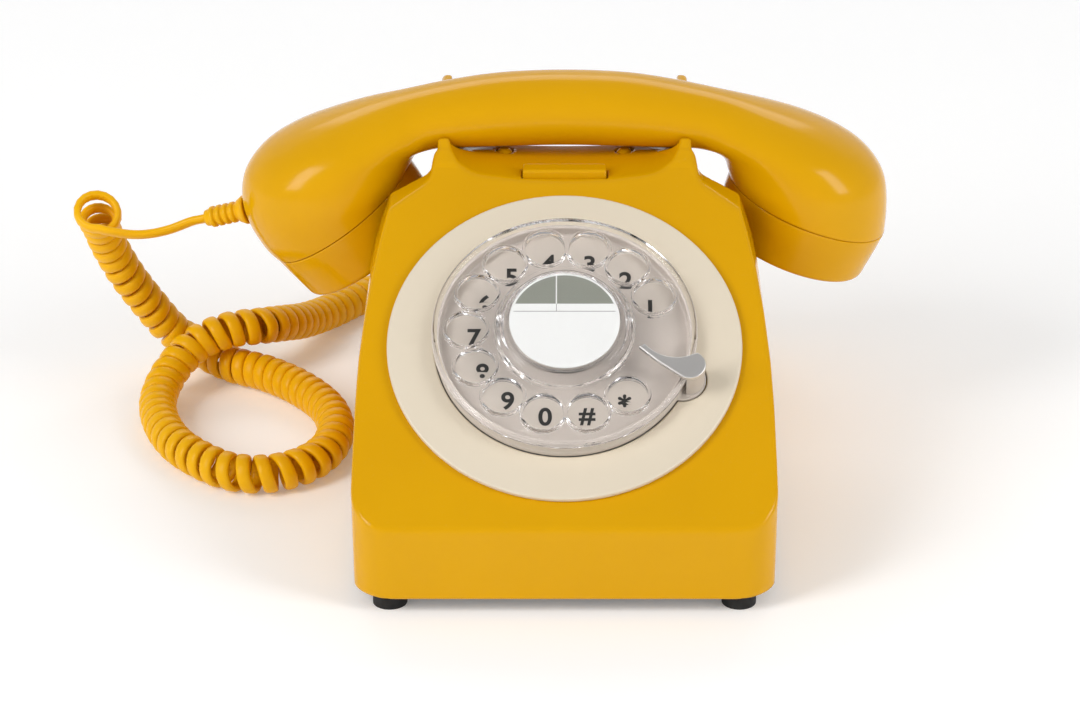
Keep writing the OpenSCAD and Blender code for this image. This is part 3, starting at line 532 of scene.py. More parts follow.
def make_handling():
    """Roughness from polish, finger smears and hairline scuffs."""
    group, given, out = new_group(
        "handling_marks", [("Polish", FLOAT, 0.15), ("Smear", FLOAT, 0.1), ("Scuff", FLOAT, 0.2),
                           ("Scale", FLOAT, 40.0)], [("Roughness", FLOAT)])
    where = own_place(group)
    smear = remap(group, noise(group, where, given["Scale"], 5, 0.6), 0.42, 0.72)
    stretch = give(group, add(group, "ShaderNodeMapping"), Vector=where, Scale=(1.0, 14.0, 3.0),
                   Rotation=(0.3, 0.9, 0.5)).outputs["Vector"]
    hair = remap(group, noise(group, stretch, 260.0, 3, 0.7), 0.66, 0.74)
    rough = maths(group, "ADD", given["Polish"], times(group, smear, given["Smear"]))
    give(group, out, Roughness=maths(group, "ADD", rough, times(group, hair, given["Scuff"])))
    return group


def make_dust():
    """Mask of fine dust that settles on what faces up."""
    group, given, out = new_group("settled_dust", [("Amount", FLOAT, 0.1), ("Scale", FLOAT, 900.0)],
                                  [("Mask", FLOAT)])
    split = add(group, "ShaderNodeSeparateXYZ")
    group.links.new(add(group, "ShaderNodeNewGeometry").outputs["Normal"], split.inputs[0])
    up = remap(group, split.outputs["Z"], 0.3, 1.0)
    specks = remap(group, noise(group, own_place(group), given["Scale"], 3, 0.7), 0.6, 0.75)
    give(group, out, Mask=times(group, times(group, up, specks), given["Amount"]))
    return group


def make_wear():
    """Mask of rubbed edges, from the surface's pointiness broken up by noise."""
    group, given, out = new_group("rubbed_edges", [("Amount", FLOAT, 0.3), ("Start", FLOAT, 0.52)],
                                  [("Mask", FLOAT)])
    point = add(group, "ShaderNodeNewGeometry").outputs["Pointiness"]
    edge = remap(group, point, given["Start"], maths(group, "ADD", given["Start"], 0.05))
    broken = remap(group, noise(group, own_place(group), 180.0, 4, 0.6), 0.3, 0.7, 0.3, 1.0)
    give(group, out, Mask=times(group, times(group, edge, broken), given["Amount"]))
    return group


MOTTLE, GRAIN, HANDLING, DUST, WEAR = make_mottle(), make_grain(), make_handling(), make_dust(), make_wear()


def place_group(tree, group, **values):
    """What comes out of the group, placed in a material with its inputs set by name."""
    return give(tree, add(tree, "ShaderNodeGroup", node_tree=group), **values).outputs[0]


class Finish:
    """A material with its Principled shader, built up step by step."""

    def __init__(self, name, **constants):
        self.material = bpy.data.materials.new(name)
        self.material.use_nodes = True
        self.tree = self.material.node_tree
        self.shader = self.tree.nodes["Principled BSDF"]
        self.feed(**constants)

    def feed(self, **values):
        give(self.tree, self.shader, **values)

    def relief(self, height, depth):
        """Bumps of that depth in metres."""
        bump = give(self.tree, add(self.tree, "ShaderNodeBump"), Height=height, Distance=depth, Strength=1.0)
        self.feed(Normal=bump.outputs["Normal"])

    def mottled(self, colour, deeper, scale, amount):
        return place_group(self.tree, MOTTLE, Color=(*colour, 1), Deeper=(*deeper, 1), Scale=scale,
                           Amount=amount)

    def handled(self, polish, smear, scuff, scale):
        self.feed(Roughness=place_group(self.tree, HANDLING, Polish=polish, Smear=smear, Scuff=scuff,
                                        Scale=scale))

    def grained(self, grain, wave, share, depth):
        self.relief(place_group(self.tree, GRAIN, Grain_Scale=grain, Wave_Scale=wave, Wave_Share=share),
                    depth)


def moulded_plastic(name, colour, deeper, polish, smear, scuff, grain_depth, wave=0.6, mottle=0.5, dust=0.1,
                    wear=0.25, worn=None, **constants):
    """Moulded plastic with pigment clouds, handling marks, dust and softly rubbed edges."""
    made = Finish(name, **constants)
    tree = made.tree
    pale = worn or tuple(0.55 * c + 0.45 for c in colour)
    base = blended(tree, place_group(tree, WEAR, Amount=wear, Start=0.53),
                   made.mottled(colour, deeper, 22.0, mottle), (*pale, 1))
    specks = place_group(tree, DUST, Amount=dust, Scale=800.0)
    made.feed(Base_Color=blended(tree, specks, base, (0.75, 0.73, 0.7, 1)))
    made.handled(polish, smear, scuff, 38.0)
    made.grained(1800.0, 45.0, wave, grain_depth)
    return made.material


def brushed_metal(name, colour, rough, along, depth=0.00002, stain=0.25):
    """Metal with a directional brush and faint tarnish."""
    made = Finish(name, Metallic=1.0)
    tree = made.tree
    stretch = give(tree, add(tree, "ShaderNodeMapping"), Vector=own_place(tree), Scale=along)
    lines = noise(tree, stretch.outputs["Vector"], 900.0, 3, 0.6)
    made.feed(Base_Color=made.mottled(colour, tuple(0.6 * c for c in colour), 60.0, stain),
              Roughness=remap(tree, lines, 0.3, 0.7, rough * 0.8, rough * 1.25))
    made.relief(lines, depth)
    return made.material


def clear_plastic(name, tint, ior, polish):
    """Clear moulded plastic with faint flow lines and handling marks; light reaches what is under it."""
    made = Finish(name, IOR=ior, Transmission_Weight=1.0, Base_Color=(*tint, 1))
    shadow = add(made.tree, "ShaderNodeLightPath").outputs["Is Shadow Ray"]
    made.feed(Alpha=remap(made.tree, shadow, 0.0, 1.0, 1.0, 0.12))
    made.handled(polish, 0.05, 0.08, 55.0)
    made.grained(400.0, 35.0, 0.8, 0.00001)
    return made.material


def printed_card():
    """The label: white card, a grey-green band above with a white upright, and a fine ruled line."""
    made = Finish("printed_card", IOR=1.45)
    tree = made.tree
    # coordinates on the dial's face, with its centre at 0
    where = own_place(tree)
    for change in ({"Location": (0, -DIAL_Y * MM, -DIAL_Z * MM)}, {"Rotation": (-SLOPE, 0, 0)}):
        where = give(tree, add(tree, "ShaderNodeMapping"), Vector=where, **change).outputs["Vector"]
    split = add(tree, "ShaderNodeSeparateXYZ")
    tree.links.new(where, split.inputs[0])
    across, up = split.outputs["X"], split.outputs["Y"]
    radius = maths(tree, "SQRT", maths(tree, "ADD", times(tree, across, across), times(tree, up, up)), 0.0)

    def band(value, low, high):
        return times(tree, maths(tree, "GREATER_THAN", value, low * MM),
                     maths(tree, "LESS_THAN", value, high * MM))
    green = times(tree, band(up, 6.1, 30), band(radius, 0, 16.6))
    green = times(tree, green, maths(tree, "SUBTRACT", 1.0, band(across, -2.75, -2.35)))
    rule = times(tree, band(up, 3.2, 3.42), band(radius, 0, 16.3))
    tick = times(tree, band(up, 3.3, 6.1), band(across, -2.65, -2.45))
    fibre = made.mottled((0.66, 0.66, 0.65), (0.63, 0.63, 0.615), 400.0, 0.5)
    base = blended(tree, green, fibre, (0.20, 0.205, 0.175, 1))
    made.feed(Base_Color=blended(tree, maths(tree, "MAXIMUM", rule, tick), base, (0.16, 0.16, 0.15, 1)))
    made.handled(0.35, 0.1, 0.05, 60.0)
    made.grained(3000.0, 120.0, 0.2, 0.00001)
    return made.material


def fibreglass_board():
    """Green lacquered board with a woven ground and darker tracks."""
    made = Finish("fibreglass_board", Coat_Weight=0.4)
    weave = give(made.tree, add(made.tree, "ShaderNodeTexBrick"), Vector=own_place(made.tree), Scale=160.0,
                 Color1=(0.02, 0.16, 0.06, 1), Color2=(0.03, 0.2, 0.08, 1), Mortar=(0.05, 0.28, 0.12, 1))
    made.feed(Base_Color=weave.outputs["Color"])
    made.handled(0.3, 0.1, 0.1, 80.0)
    made.relief(weave.outputs["Fac"], 0.00005)
    return made.material


MUSTARD = (0.70, 0.355, 0.0006)
MUSTARD_DEEP = (0.655, 0.325, 0.0006)
FINISHES = {
    "mustard": moulded_plastic("mustard_gloss", MUSTARD, MUSTARD_DEEP, 0.13, 0.07, 0.1, 0.000012, wave=0.9,
                               mottle=0.5, dust=0.015, wear=0.06, worn=(0.8, 0.5, 0.03), IOR=1.5,
                               Specular_IOR_Level=0.17),
    "cord": moulded_plastic("mustard_cord", (0.86, 0.45, 0.001), (0.78, 0.40, 0.001), 0.3, 0.1, 0.1, 0.00002,
                            wave=0.3, mottle=0.5, dust=0.02, wear=0.03, worn=(0.7, 0.4, 0.02),
                            Specular_IOR_Level=0.18),
    "cream": moulded_plastic("cream_bezel", (0.75, 0.66, 0.52), (0.71, 0.62, 0.48), 0.4, 0.1, 0.1, 0.00001,
                             wave=0.7, mottle=0.4, dust=0.06, wear=0.1),
    "plate": moulded_plastic("number_plate_cream", (0.54, 0.48, 0.42), (0.50, 0.44, 0.385), 0.42, 0.1, 0.1,
                             0.00001, wave=0.6, mottle=0.4, dust=0.05, wear=0.1),
    "ink": moulded_plastic("printed_ink", (0.015, 0.014, 0.013), (0.03, 0.03, 0.028), 0.45, 0.1, 0.05,
                           0.000005, mottle=0.4, dust=0.0, wear=0.0),
    "clear": clear_plastic("clear_wheel", (0.975, 0.97, 0.985), 1.33, 0.03),
    "window": clear_plastic("clear_window", (0.99, 0.99, 0.99), 1.18, 0.02),
    "card": printed_card(),
    "satin": brushed_metal("satin_chrome", (0.74, 0.72, 0.70), 0.42, (1.0, 6.0, 6.0), 0.000004, 0.1),
    "steel": brushed_metal("zinc_steel", (0.55, 0.56, 0.58), 0.35, (1.0, 1.0, 8.0)),
    "brass": brushed_metal("stamped_brass", (0.72, 0.5, 0.2), 0.3, (8.0, 1.0, 1.0), stain=0.5),
    "iron": brushed_metal("cast_weight", (0.2, 0.2, 0.21), 0.6, (2.0, 2.0, 2.0), 0.0001, 0.6),
    "black": moulded_plastic("black_moulding", (0.02, 0.02, 0.021), (0.035, 0.035, 0.035), 0.45, 0.12, 0.15,
                             0.00003, wave=0.3, mottle=0.4, dust=0.2, wear=0.2),
    "rubber": moulded_plastic("black_rubber", (0.004, 0.004, 0.004), (0.009, 0.009, 0.009), 0.6, 0.12, 0.1,
                              0.00003, wave=0.2, mottle=0.6, dust=0.03, wear=0.05, Specular_IOR_Level=0.2),
    "ivory": moulded_plastic("ivory_knob", (0.72, 0.68, 0.56), (0.66, 0.62, 0.5), 0.35, 0.1, 0.1, 0.00002),
    "board": fibreglass_board(),
    "parts": moulded_plastic("board_parts_resin", (0.12, 0.14, 0.18), (0.4, 0.2, 0.1), 0.4, 0.1, 0.1, 0.00002,
                             mottle=1.0),
    "copper": brushed_metal("wound_copper", (0.62, 0.24, 0.12), 0.35, (1.0, 1.0, 14.0), 0.0001, 0.4),
}


def dress(piece, finish):
    """Gives a piece one of the finishes."""
    piece.data.materials.clear()
    piece.data.materials.append(FINISHES[finish])
    return piece


def settle(piece, node, body, finish):
    """Dresses a piece, makes it stand for a node of the frame and rides it on a body."""
    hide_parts(node)
    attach(dress(piece, finish), body)


# ---- case ----
def side_reach(z):
    """Half width of the body at a height."""
    return (HALF_W - 0.0028 * max(0.0, z - 42) ** 2 - 0.00015 * max(0.0, z - 60) ** 2.6
            - 0.0006 * max(0.0, 36 - z) ** 1.8)


def mirrored(points):
    """A right half outline made whole, running anticlockwise."""
    return points + [(-p[0], *p[1:]) for p in reversed(points)]


def make_case():
    """The moulded case: sloping face, rounded rear, neck with four horns, cradle and carrying hollow."""
    body_side = Outline(softened(
        [(-HALF_D, FOOT_H, 0.8), (HALF_D, FOOT_H, 0.8), (HALF_D, 46.5, 15), (60, 54, 6), (20, 58, 3),
         (11.5, 62, 3), (10.2, 68, 3), (11, 80, 6), (12.5, 92, 3), (20.5, 105.5, 0.6),
         (*face_point(141), 0.4), (FACE_Y0, LIP_Z, 3.2)], 7))
    levels = [FOOT_H, 20, 30, 42, 52, 62, 72, 80, 87, 94]
    body_front = Outline(softened(mirrored(
        [(side_reach(q), q, 0.8 if q == FOOT_H else 1.5 if q == 94 else 0) for q in levels]
        + [(45.4, 99.5, 3), (44, 100.9, 2), (43.3, 104, 1), (42.3, 107, 1), (41.4, 109.8, 1),
           (40, 110.8, 0.5)])))
    neck_side = Outline(softened(
        [(-HALF_D + 10, FOOT_H), (HALF_D, FOOT_H), (HALF_D, 30, 6), (92, 50, 8), (84, 66, 8), (77, 88, 8),
         (70.8, REAR_HORN_Z, 5.5), (56.5, REAR_HORN_Z, 2), (56, REAR_HORN_Z - 4, 1), (50, 102, 3),
         (30, 102, 3), (24.5, FRONT_HORN_Z, 1.5), (22.2, FRONT_HORN_Z, 1.2), (*face_point(140), 1),
         face_point(20)]))
    neck_front = Outline(softened(mirrored([(NECK_W, FOOT_H), (NECK_W, 116, 2.2)])))
    half_valley = [(0, 100), (13, 100.3), (20, 100.8), (27, 101.4), (31, 102.3), (34.5, 104), (36.6, 106.2),
                   (37.8, 108.4), (38.4, 112)]
    smooth_valley = [tuple(p) for p in catmull_rom(half_valley, 3)]
    valley = Outline(smooth_valley + [(38.4, 130), (-38.4, 130)]
                     + [(-a, b) for a, b in reversed(smooth_valley[1:])])
    pocket = Outline(softened([(41, 130), (40, 101), (40.5, 98, 2), (43.5, 94, 2), (44.5, 77, 4),
                               (49, 71.5, 4), (56, 70, 2), (120, 66), (120, 130)]))
    saddle_a, saddle_b = GRIP_A + 1.5, GRIP_B + 1.5

    def outer(x, y, z):
        flat = [np.abs(q) - (h - CORNER_R) for q, h in ((x, HALF_W), (y, HALF_D))]
        plan = (np.hypot(np.maximum(flat[0], 0), np.maximum(flat[1], 0))
                + np.minimum(np.maximum(flat[0], flat[1]), 0) - CORNER_R)
        side = common(body_side(y, z), plan, 1.0)
        body = common(side, body_front(x, z), 1.3)
        neck = common(neck_side(y, z), neck_front(x, z), 1.6)
        return joined(body, common(neck, plan, 1.0), 1.5), plan

    def cradle(y, z):
        a = (y - GRIP_Y) / saddle_a
        b = np.minimum(z - GRIP_Z, 0) / saddle_b
        return (np.hypot(a, b) - 1) * saddle_b

    def field(x, y, z):
        whole, plan = outer(x, y, z)
        out = (z - DIAL_Z) * math.cos(SLOPE) - (y - DIAL_Y) * math.sin(SLOPE)
        # nothing stands proud of the sloping face below the horns
        whole = np.maximum(whole, out - 0.3 * np.maximum(0, z - 103))
        whole = cut(whole, common(valley(x, z), -20 - y, 0.01), 0.9)
        whole = cut(whole, cradle(y, z), 0.8)
        whole = cut(whole, common(pocket(y, z), np.abs(x) - POCKET_X, 2.5), 1.2)
        hollow = np.maximum(whole + WALL, np.abs(z) - (CRADLE_Z - WALL))
        hollow = np.minimum(hollow, np.maximum(plan + WALL, z - 20))
        whole = np.maximum(whole, -hollow)
        up = (y - DIAL_Y) * math.cos(SLOPE) + (z - DIAL_Z) * math.sin(SLOPE)
        whole = np.maximum(whole, -np.maximum(np.hypot(x, up) - DIAL_HOLE_R, np.abs(out + 3) - 9))
        for side in (-1, 1):
            bore = np.hypot(x - side * PLUNGER_X, y - PLUNGER_Y) - (PLUNGER_R + 0.35)
            whole = cut(whole, np.maximum(bore, 80 - z), 0.3)
        slot = box_field(x, y - BUTTON_Y, z - 95, (BUTTON_W / 2 + 0.35, BUTTON_D / 2 + 0.35, 15))
        whole = cut(whole, slot, 0.3)
        for centre, wide, low, high in ((SOCKET_X, 13.4, 0, SOCKET_Z + 6.2),
                                        (LINE_X, 13.4, 0, SOCKET_Z + 6.2),
                                        (RINGER_X, 14.4, SOCKET_Z - 3.2, SOCKET_Z + 3.2)):
            hole = box_field(x - centre, y - HALF_D, z - (low + high) / 2,
                             (wide / 2, 10, (high - low) / 2), 0.5)
            whole = cut(whole, hole, 0.4)
        return whole
    step = 0.9
    piece = skin("case", field, (-HALF_W, -HALF_D, FOOT_H), (HALF_W, HALF_D, 115.4), step)
    settle(piece, "case_shell", "base", "mustard")


def make_button():
    """The bar in the cradle, with a flat top and crisp rounded edges."""
    def field(x, y, z):
        bar = box_field(x, y - BUTTON_Y, z - (CRADLE_Z - 2.2), (BUTTON_W / 2, BUTTON_D / 2, 5), 0.9)
        skirt = box_field(x, y - BUTTON_Y, z - (CRADLE_Z - 4.6), (16, 4.6, 1.0), 0.2)
        return joined(bar, skirt, 0.3)
    piece = skin("recall_bar", field, (-16, 9.7, 92.6), (16, 18.9, 102.8), 0.4)
    settle(piece, "recall_button", "button", "mustard")


# ---- dial ----
def at_stop(x, y):
    """Coordinates turned so that x runs out along the finger stop."""
    c, s = math.cos(STOP_ANGLE), math.sin(STOP_ANGLE)
    return x * c + y * s, y * c - x * s


def lobe(x, y, grow):
    """Signed distance to the round lobe under the finger stop's post, grown by a margin."""
    u, v = at_stop(x, y)
    return np.hypot(u - 39.2, v) - 7.6 - grow


def make_bezel():
    """The flat ring round the dial, with a notch for the finger stop's lobe."""
    def field(x, y, z):
        r = np.hypot(x, y)
        ring = common(common(r - BEZEL_R, DISH_R + 0.4 - r, 0.01), slab(z, 0.02, BEZEL_TOP), 0.55)
        rim = np.maximum(np.abs(r - (DISH_R + 45.6 + 0.4) / 2) - 2.2, slab(z, -4, 1.2))
        return cut(np.minimum(ring, rim), lobe(x, y, 0.35), 0.35)
    piece = skin("dial_ring", field, (-BEZEL_R, -BEZEL_R, -4), (BEZEL_R, BEZEL_R, BEZEL_TOP),
                 0.6, DIAL)
    settle(piece, "dial_bezel", "base", "cream")


def make_plate():
    """The dished number plate with its rim, and the lobe and post that carry the finger stop."""
    def field(x, y, z):
        r = np.hypot(x, y)
        floor = common(r - DISH_R, slab(z, PLATE_TOP - 2, PLATE_TOP), 0.2)
        rim = common(np.abs(r - (DISH_R - 0.7)) - 0.7, slab(z, PLATE_TOP - 1.8, DISH_TOP), 0.5)
        shelf = common(lobe(x, y, 0), slab(z, 0.3, BEZEL_TOP + 0.1), 0.3)
        u, v = at_stop(x, y)
        post = np.maximum(np.hypot(u - STOP_X, v) - STOP_END_R + 0.15, WHEEL_R + 0.5 - r)
        post = common(post, slab(z, 1, STOP_Z), 0.3)
        whole = joined(joined(floor, rim, 0.8), shelf, 0.3)
        whole = np.minimum(whole, post)
        return np.maximum(whole, 4.2 - r)
    reach = DISH_R + 0.2
    piece = skin("number_dish", field, (-reach, -reach, 0.3), (47, reach, STOP_Z),
                 0.5, DIAL)
    settle(piece, "number_plate", "base", "plate")


def make_numbers():
    """Upright digits printed on the plate, one under each finger hole."""
    height, thickness = 6.5, 0.06
    shares = {"*": 0.72, "#": 0.95}
    for i, glyph in enumerate("1234567890#*"):
        curve = bpy.data.curves.new("glyph", "FONT")
        curve.body = glyph
        curve.offset = 0.024
        curve.extrude = 0.02
        text = placed("glyph", curve)
        bpy.context.view_layer.update()
        mesh = bpy.data.meshes.new_from_object(text.evaluated_get(bpy.context.evaluated_depsgraph_get()))
        bpy.data.objects.remove(text)
        co = np.array([v.co for v in mesh.vertices])
        low, high = co.min(0), co.max(0)
        scale = height * shares.get(glyph, 1.0) / (high[1] - low[1])
        co = (co - (low + high) / 2) * (scale, scale, 1)
        co[:, 2] = np.where(co[:, 2] > 0, thickness, -0.02)
        angle = INK_FIRST + i * HOLE_STEP
        co += (INK_R * math.cos(angle) + INK_RIGHT, INK_R * math.sin(angle) + INK_UP, PLATE_TOP)
        matrix = np.array(DIAL)
        co = co @ matrix[:3, :3].T + matrix[:3, 3]
        mesh.vertices.foreach_set("co", co.astype(np.float32).ravel())
        mesh.update()
        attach(dress(placed(f"printed_mark_{i + 1}", mesh), "ink"), "base")


def make_wheel():
    """The clear finger wheel: lipped rim and holes, and a hollow raised middle."""
    boss = Outline(softened([(0, WHEEL_Z), (BOSS_R + 1.4, WHEEL_Z), (BOSS_R + 1, WHEEL_Z + 3.4, 2),
                             (BOSS_R, BOSS_Z - 0.8, 1), (BOSS_R - 0.8, BOSS_Z, 0.5),
                             (LABEL_R + 1.4, BOSS_Z, 0.3), (LABEL_R + 1.2, LABEL_Z, 0.2), (0, LABEL_Z)],
                            5), 0.1, 3)
    under = Outline(softened([(HUB_R, 2), (BOSS_R - 0.5, 2), (BOSS_R - 0.8, WHEEL_Z + 3.2, 2),
                              (BOSS_R - 2, BOSS_Z - 1.6, 1.5), (HUB_R, BOSS_Z - 1.6, 1)], 5), 0.1, 3)

    def field(x, y, z):
        r = np.hypot(x, y)
        top = WHEEL_Z + WHEEL_T
        whole = common(r - WHEEL_R, slab(z, WHEEL_Z, top), 0.4)
        rim = common(np.abs(r - (WHEEL_R - 0.7)) - 0.7, slab(z, WHEEL_Z, top + 0.7), 0.45)
        whole = joined(whole, rim, 0.5)
        angle = np.arctan2(y, x)
        # the hole nearest to each point; past the last one the run starts again
        steps = ((angle - HOLE_FIRST + HOLE_STEP / 2) % (2 * math.pi)) / HOLE_STEP - 0.5
        spin = HOLE_FIRST + np.clip(np.round(steps), 0, HOLE_COUNT - 1) * HOLE_STEP
        hole = np.hypot(x - HOLE_RING_R * np.cos(spin), y - HOLE_RING_R * np.sin(spin)) - HOLE_R
        lip = common(hole - 0.95, slab(z, WHEEL_Z, top + 1), 0.45)
        whole = joined(whole, lip, 0.5)
        whole = joined(whole, boss(r, z), 0.6)
        whole = cut(whole, hole, 0.35)
        whole = np.maximum(whole, -np.maximum(under(r, z), 6 - z))
        whole = np.maximum(whole, 3.05 - r)
        return np.maximum(whole, -np.maximum(r - 6.2, HUB_Z - z))
    piece = skin("clear_finger_wheel", field, (-WHEEL_R, -WHEEL_R, WHEEL_Z), (WHEEL_R, WHEEL_R, LABEL_Z),
                 0.4, DIAL)
    settle(piece, "finger_wheel", "dial", "clear")


def make_label():
    """The card in the middle of the wheel and its clear cover."""
    top = LABEL_Z + LABEL_T
    card = turned("centre_card", [(0, LABEL_Z), (LABEL_R - 0.1, LABEL_Z), (LABEL_R, LABEL_Z + 0.1),
                                  (LABEL_R, top - 0.1), (LABEL_R - 0.1, top - 0.03), (0, top - 0.03)], DIAL)
    settle(card, "label_card", "dial", "card")
    r, high = LABEL_R + 1.1, LABEL_Z + 1.3
    cover = turned("centre_window", [(0, top), (LABEL_R + 0.2, top), (LABEL_R + 0.3, LABEL_Z),
                                     (r - 0.1, LABEL_Z), (r, LABEL_Z + 0.1)]
                   + arc((r - 0.5, high - 0.5), 0.5, 0, 90, 5) + [(0, high)], DIAL)
    settle(cover, "label_cover", "dial", "window")


def make_stop():
    """The finger stop: a flat satin hook with a hollow upper edge and a round end."""
    edge = bezier((STOP_X + 0.1, 4.7), (39.5, 1.5), (33, -1.8), (25.8, 2.4), 12)
    shape = Outline([(24.3, 0.7), (31.5, -2.2)] + arc((STOP_X, 0), STOP_END_R, -105, 80, 20) + edge, 0.1, 3)

    def field(x, y, z):
        return common(shape(x, y), slab(z, STOP_Z, STOP_Z + STOP_T), 0.4)
    place = DIAL @ Matrix.Rotation(STOP_ANGLE, 4, "Z")
    piece = skin("stop_hook", field, (24, -5, STOP_Z), (46.5, 5, STOP_Z + STOP_T), 0.25, place)
    settle(piece, "finger_stop", "base", "satin")


# ---- handset ----
def cup_ends(centre, tilt, side):
    """Inner and outer end of a cup's rim, in (x, z)."""
    c, s = CUP_R * math.cos(tilt), CUP_R * math.sin(tilt)
    return (centre[0] - side * c, centre[1] + s), (centre[0] + side * c, centre[1] - s)


LOW = GRIP_Z - GRIP_B
# Sections from cup to cup: inner and outer point in (x, z), and half width across
SECTIONS = [
    (*cup_ends(MOUTH_C, MOUTH_TILT, -1), CUP_R),
    ((-51.4, 95.8), (-102, 65.6), CUP_R),
    ((-50.6, 97.2), (-106.8, 74.2), CUP_R),
    ((-50, 98.3), (-108.8, 82.5), 27.9),
    ((-49.4, 99.1), (-107.4, 91.5), 27),
    ((-48.8, 99.8), (-101.5, 99.6), 25.6),
    ((-48, 100.4), (-92.5, 105.6), 23.8),
    ((-47, 100.8), (-81.5, 110.4), 21.6),
    ((-45, 101.1), (-68.5, 115), 19),
    ((-41, LOW - 0.9), (-54, 119), 15.6),
    ((-34, LOW - 0.8), (-39, 122.4), GRIP_A),
    ((-20, LOW - 0.5), (-21, 125.2), GRIP_A),
    ((0, LOW), (0, GRIP_Z + GRIP_B), GRIP_A),
    ((20, LOW - 0.5), (21, 125.2), GRIP_A),
    ((34, LOW - 0.8), (38, 122.4), GRIP_A),
    ((43, LOW - 0.9), (53, 119), 15.6),
    ((48, 101), (67, 115), 19),
    ((50.4, 100.2), (81, 110.4), 21.8),
    ((51.8, 99.2), (92.5, 105.2), 24),
    ((52.8, 98), (101.5, 99), 25.8),
    ((53.8, 96.2), (107.2, 91), 27.2),
    ((54.6, 93.6), (108.8, 81.5), 28),
    (*cup_ends(EAR_C, EAR_TILT, 1), CUP_R)]


def make_handset():
    """The handset's shell, lofted through its sections with smooth runs between them."""
    table = np.array([[*a, *b, w] for a, b, w in SECTIONS], float)
    fine = catmull_rom(table, 6)
    angles = 2 * math.pi * np.arange(96) / 96
    rings = []
    for row in fine:
        inner, outer, wide = row[0:2], row[2:4], row[4]
        centre, half = (inner + outer) / 2, (outer - inner) / 2
        rings.append(np.stack([centre[0] + half[0] * np.cos(angles), GRIP_Y + wide * np.sin(angles),
                               centre[1] + half[1] * np.cos(angles)], 1))
    for end, inward in ((0, 1), (-1, -1)):
        edge = rings[end]
        middle = edge.mean(0)
        lip = middle + (edge - middle) * (1 - 0.35 / CUP_R)
        rings[end] = edge + (rings[end + inward] - edge) * 0.35
        rings.insert(0 if end == 0 else len(rings), lip)
    points, faces = loft([ring.tolist() for ring in rings])
    piece = mesh_object("handset_body", points, faces)
    settle(piece, "handset_shell", "handset", "mustard")


def cup_place(centre, turn):
    """Where a cap sits: its own z runs out of the cup."""
    return (Matrix.Translation((centre[0] * MM, GRIP_Y * MM, centre[1] * MM))
            @ Matrix.Rotation(turn, 4, "Y") @ Matrix.Scale(MM, 4))


def make_cap(name, node, place, rings):
    """A screwed cap with a rounded edge, a raised rim and rings of sound holes in its dished face."""
    r = CUP_R - 0.1
    profile = Outline(softened([(0, CAP_H - 3.5), (0, CAP_H - 1.6), (r - 7, CAP_H - 1.4, 1),
                                (r - 5.6, CAP_H, 0.8), (r - 1.6, CAP_H, 4), (r - 0.3, 5, 2), (r, 0.15, 0.35),
                                (r - 2.6, 0.15), (r - 3.4, CAP_H - 3.5)], 6), 0.15, 3)

    def field(x, y, z):
        q = np.hypot(x, y)
        whole = profile(q, z)
        for k in range(1, rings + 1):
            step = math.pi / (3 * k)
            spin = np.round(np.arctan2(y, x) / step) * step
            hole = np.hypot(x - 5 * k * np.cos(spin), y - 5 * k * np.sin(spin)) - 1.1
            whole = cut(whole, hole, 0.2)
        return whole
    piece = skin(name, field, (-r, -r, 0), (r, r, CAP_H), 0.5, place)
    settle(piece, node, "handset", "mustard")


def make_gland():
    """The ribbed strain relief where the cord leaves the handset."""
    profile = [(0, -0.4), (4.9, -0.4), (4.95, 0.6), (4.3, 1.8), (3.9, 2.6), (3.0, 2.9), (2.9, 3.4)]
    for i in range(1, 5):
        z = 1.6 + i * 2.5
        profile += [(2.9, z - 0.25), (3.35, z - 0.05), (3.6, z + 0.25), (3.6, z + 1.2), (3.4, z + 1.45),
                    (2.9, z + 1.6)]
    profile += [(2.9, GLAND_LEN - 0.9), (2.7, GLAND_LEN), (0, GLAND_LEN)]
    turn = Vector((0, 0, 1)).rotation_difference(GLAND_DIR).to_matrix().to_4x4()
    place = Matrix.Translation(GLAND_AT * MM) @ turn @ Matrix.Scale(MM, 4)
    piece = turned("ribbed_gland", profile, place, 48)
    settle(piece, "cord_gland", "handset", "cord")
    return piece


# ---- what the frame already shapes ----
CARRIED = {
    "mustard": "hook_plungers",
    "black": "base_plate hook_guide hook_switch line_socket handset_socket ringer_housing"
             " pulse_contacts receiver microphone",
    "rubber": "feet",
    "steel": "base_screws dial_frame stop_screw dial_shaft governor_spindle governor_cup return_spring"
             " dial_screws button_spring hook_spring bell_posts bell_bracket bell_clapper",
    "brass": "wheel_nut main_gear idler_gear governor_weights bell_gong_left bell_gong_right",
    "iron": "ballast_weight handset_weight",
    "copper": "bell_coils",
    "ivory": "ringer_slider",
    "board": "circuit_board",
    "parts": "board_parts",
    "clear": "cord_plug",
}


def dress_carried():
    """Gives each carried-over node its finish."""
    for finish, names in CARRIED.items():
        for name in names.split():
            dress(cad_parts[name], finish)


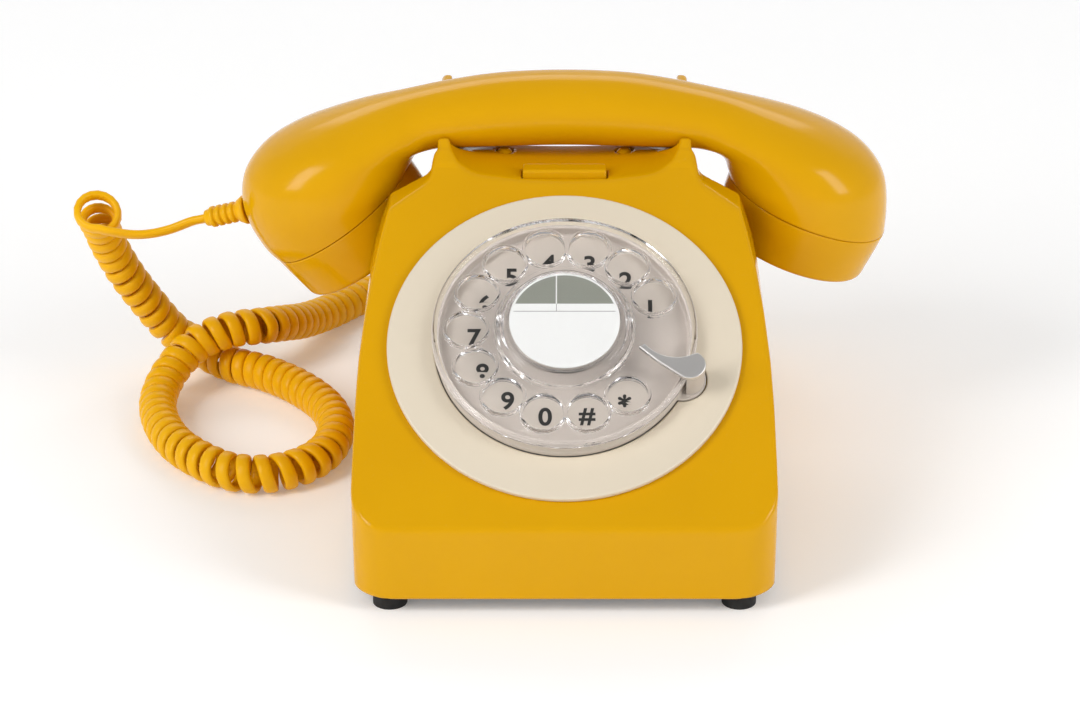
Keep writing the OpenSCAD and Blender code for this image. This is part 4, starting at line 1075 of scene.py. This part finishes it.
# ---- studio ----
def make_floor():
    """A pale sweep: floor and a far backdrop in one sheet."""
    reach, back, rise = 3.0, 2.2, 2.5
    profile = [(-reach, 0)] + arc((back - 0.6, 0.6), 0.6, -90, 0, 9) + [(back, rise)]
    points = [(x, y, z) for y, z in profile for x in (-reach, reach)]
    faces = [(2 * i, 2 * i + 1, 2 * i + 3, 2 * i + 2) for i in range(len(profile) - 1)]
    floor = mesh_object("floor", points, faces, Matrix.Identity(4))
    made = Finish("white_paper", Roughness=0.9, Base_Color=(0.92, 0.92, 0.92, 1), Specular_IOR_Level=0.0,
                  Emission_Color=(1, 1, 1, 1), Emission_Strength=0.14)
    made.grained(300.0, 8.0, 0.5, 0.00005)
    floor.data.materials.append(made.material)


def add_light(name, at, size, power):
    """A soft rectangular light aimed at the middle of the object."""
    data = bpy.data.lights.new(name, "AREA")
    data.shape = "RECTANGLE"
    data.size, data.size_y = size
    data.energy = power
    lamp = placed(name, data)
    lamp.location = at
    lamp.rotation_euler = (Vector((0, 0, 0.06)) - Vector(at)).to_track_quat("-Z", "Y").to_euler()


def make_lights():
    """Soft boxes at both sides and above behind, and a white surround that dims upwards."""
    world = bpy.data.worlds.new("surround")
    world.use_nodes = True
    tree = world.node_tree
    split = add(tree, "ShaderNodeSeparateXYZ")
    tree.links.new(add(tree, "ShaderNodeTexCoord").outputs["Generated"], split.inputs[0])
    give(tree, tree.nodes["Background"], Color=(1, 1, 1, 1),
         Strength=remap(tree, split.outputs["Z"], 0.1, 0.8, 0.58, 0.36))
    bpy.context.scene.world = world
    add_light("left_box", (-1.0, -0.7, 0.85), (0.45, 0.95), 11)
    add_light("right_box", (1.1, -0.6, 0.75), (0.4, 0.9), 8)
    add_light("back_box", (0, 1.3, 1.1), (1.6, 0.5), 5)


make_camera()
dress(make_cord(make_gland()), "cord")
make_case()
make_button()
make_bezel()
make_plate()
make_numbers()
make_wheel()
make_label()
make_stop()
make_handset()
make_cap("mouthpiece_cap", "mouth_cap", cup_place(MOUTH_C, math.pi - MOUTH_TILT), 3)
make_cap("earpiece_cap", "ear_cap", cup_place(EAR_C, math.pi + EAR_TILT), 2)
dress_carried()
make_floor()
make_lights()
bpy.context.scene.view_settings.view_transform = "Standard"
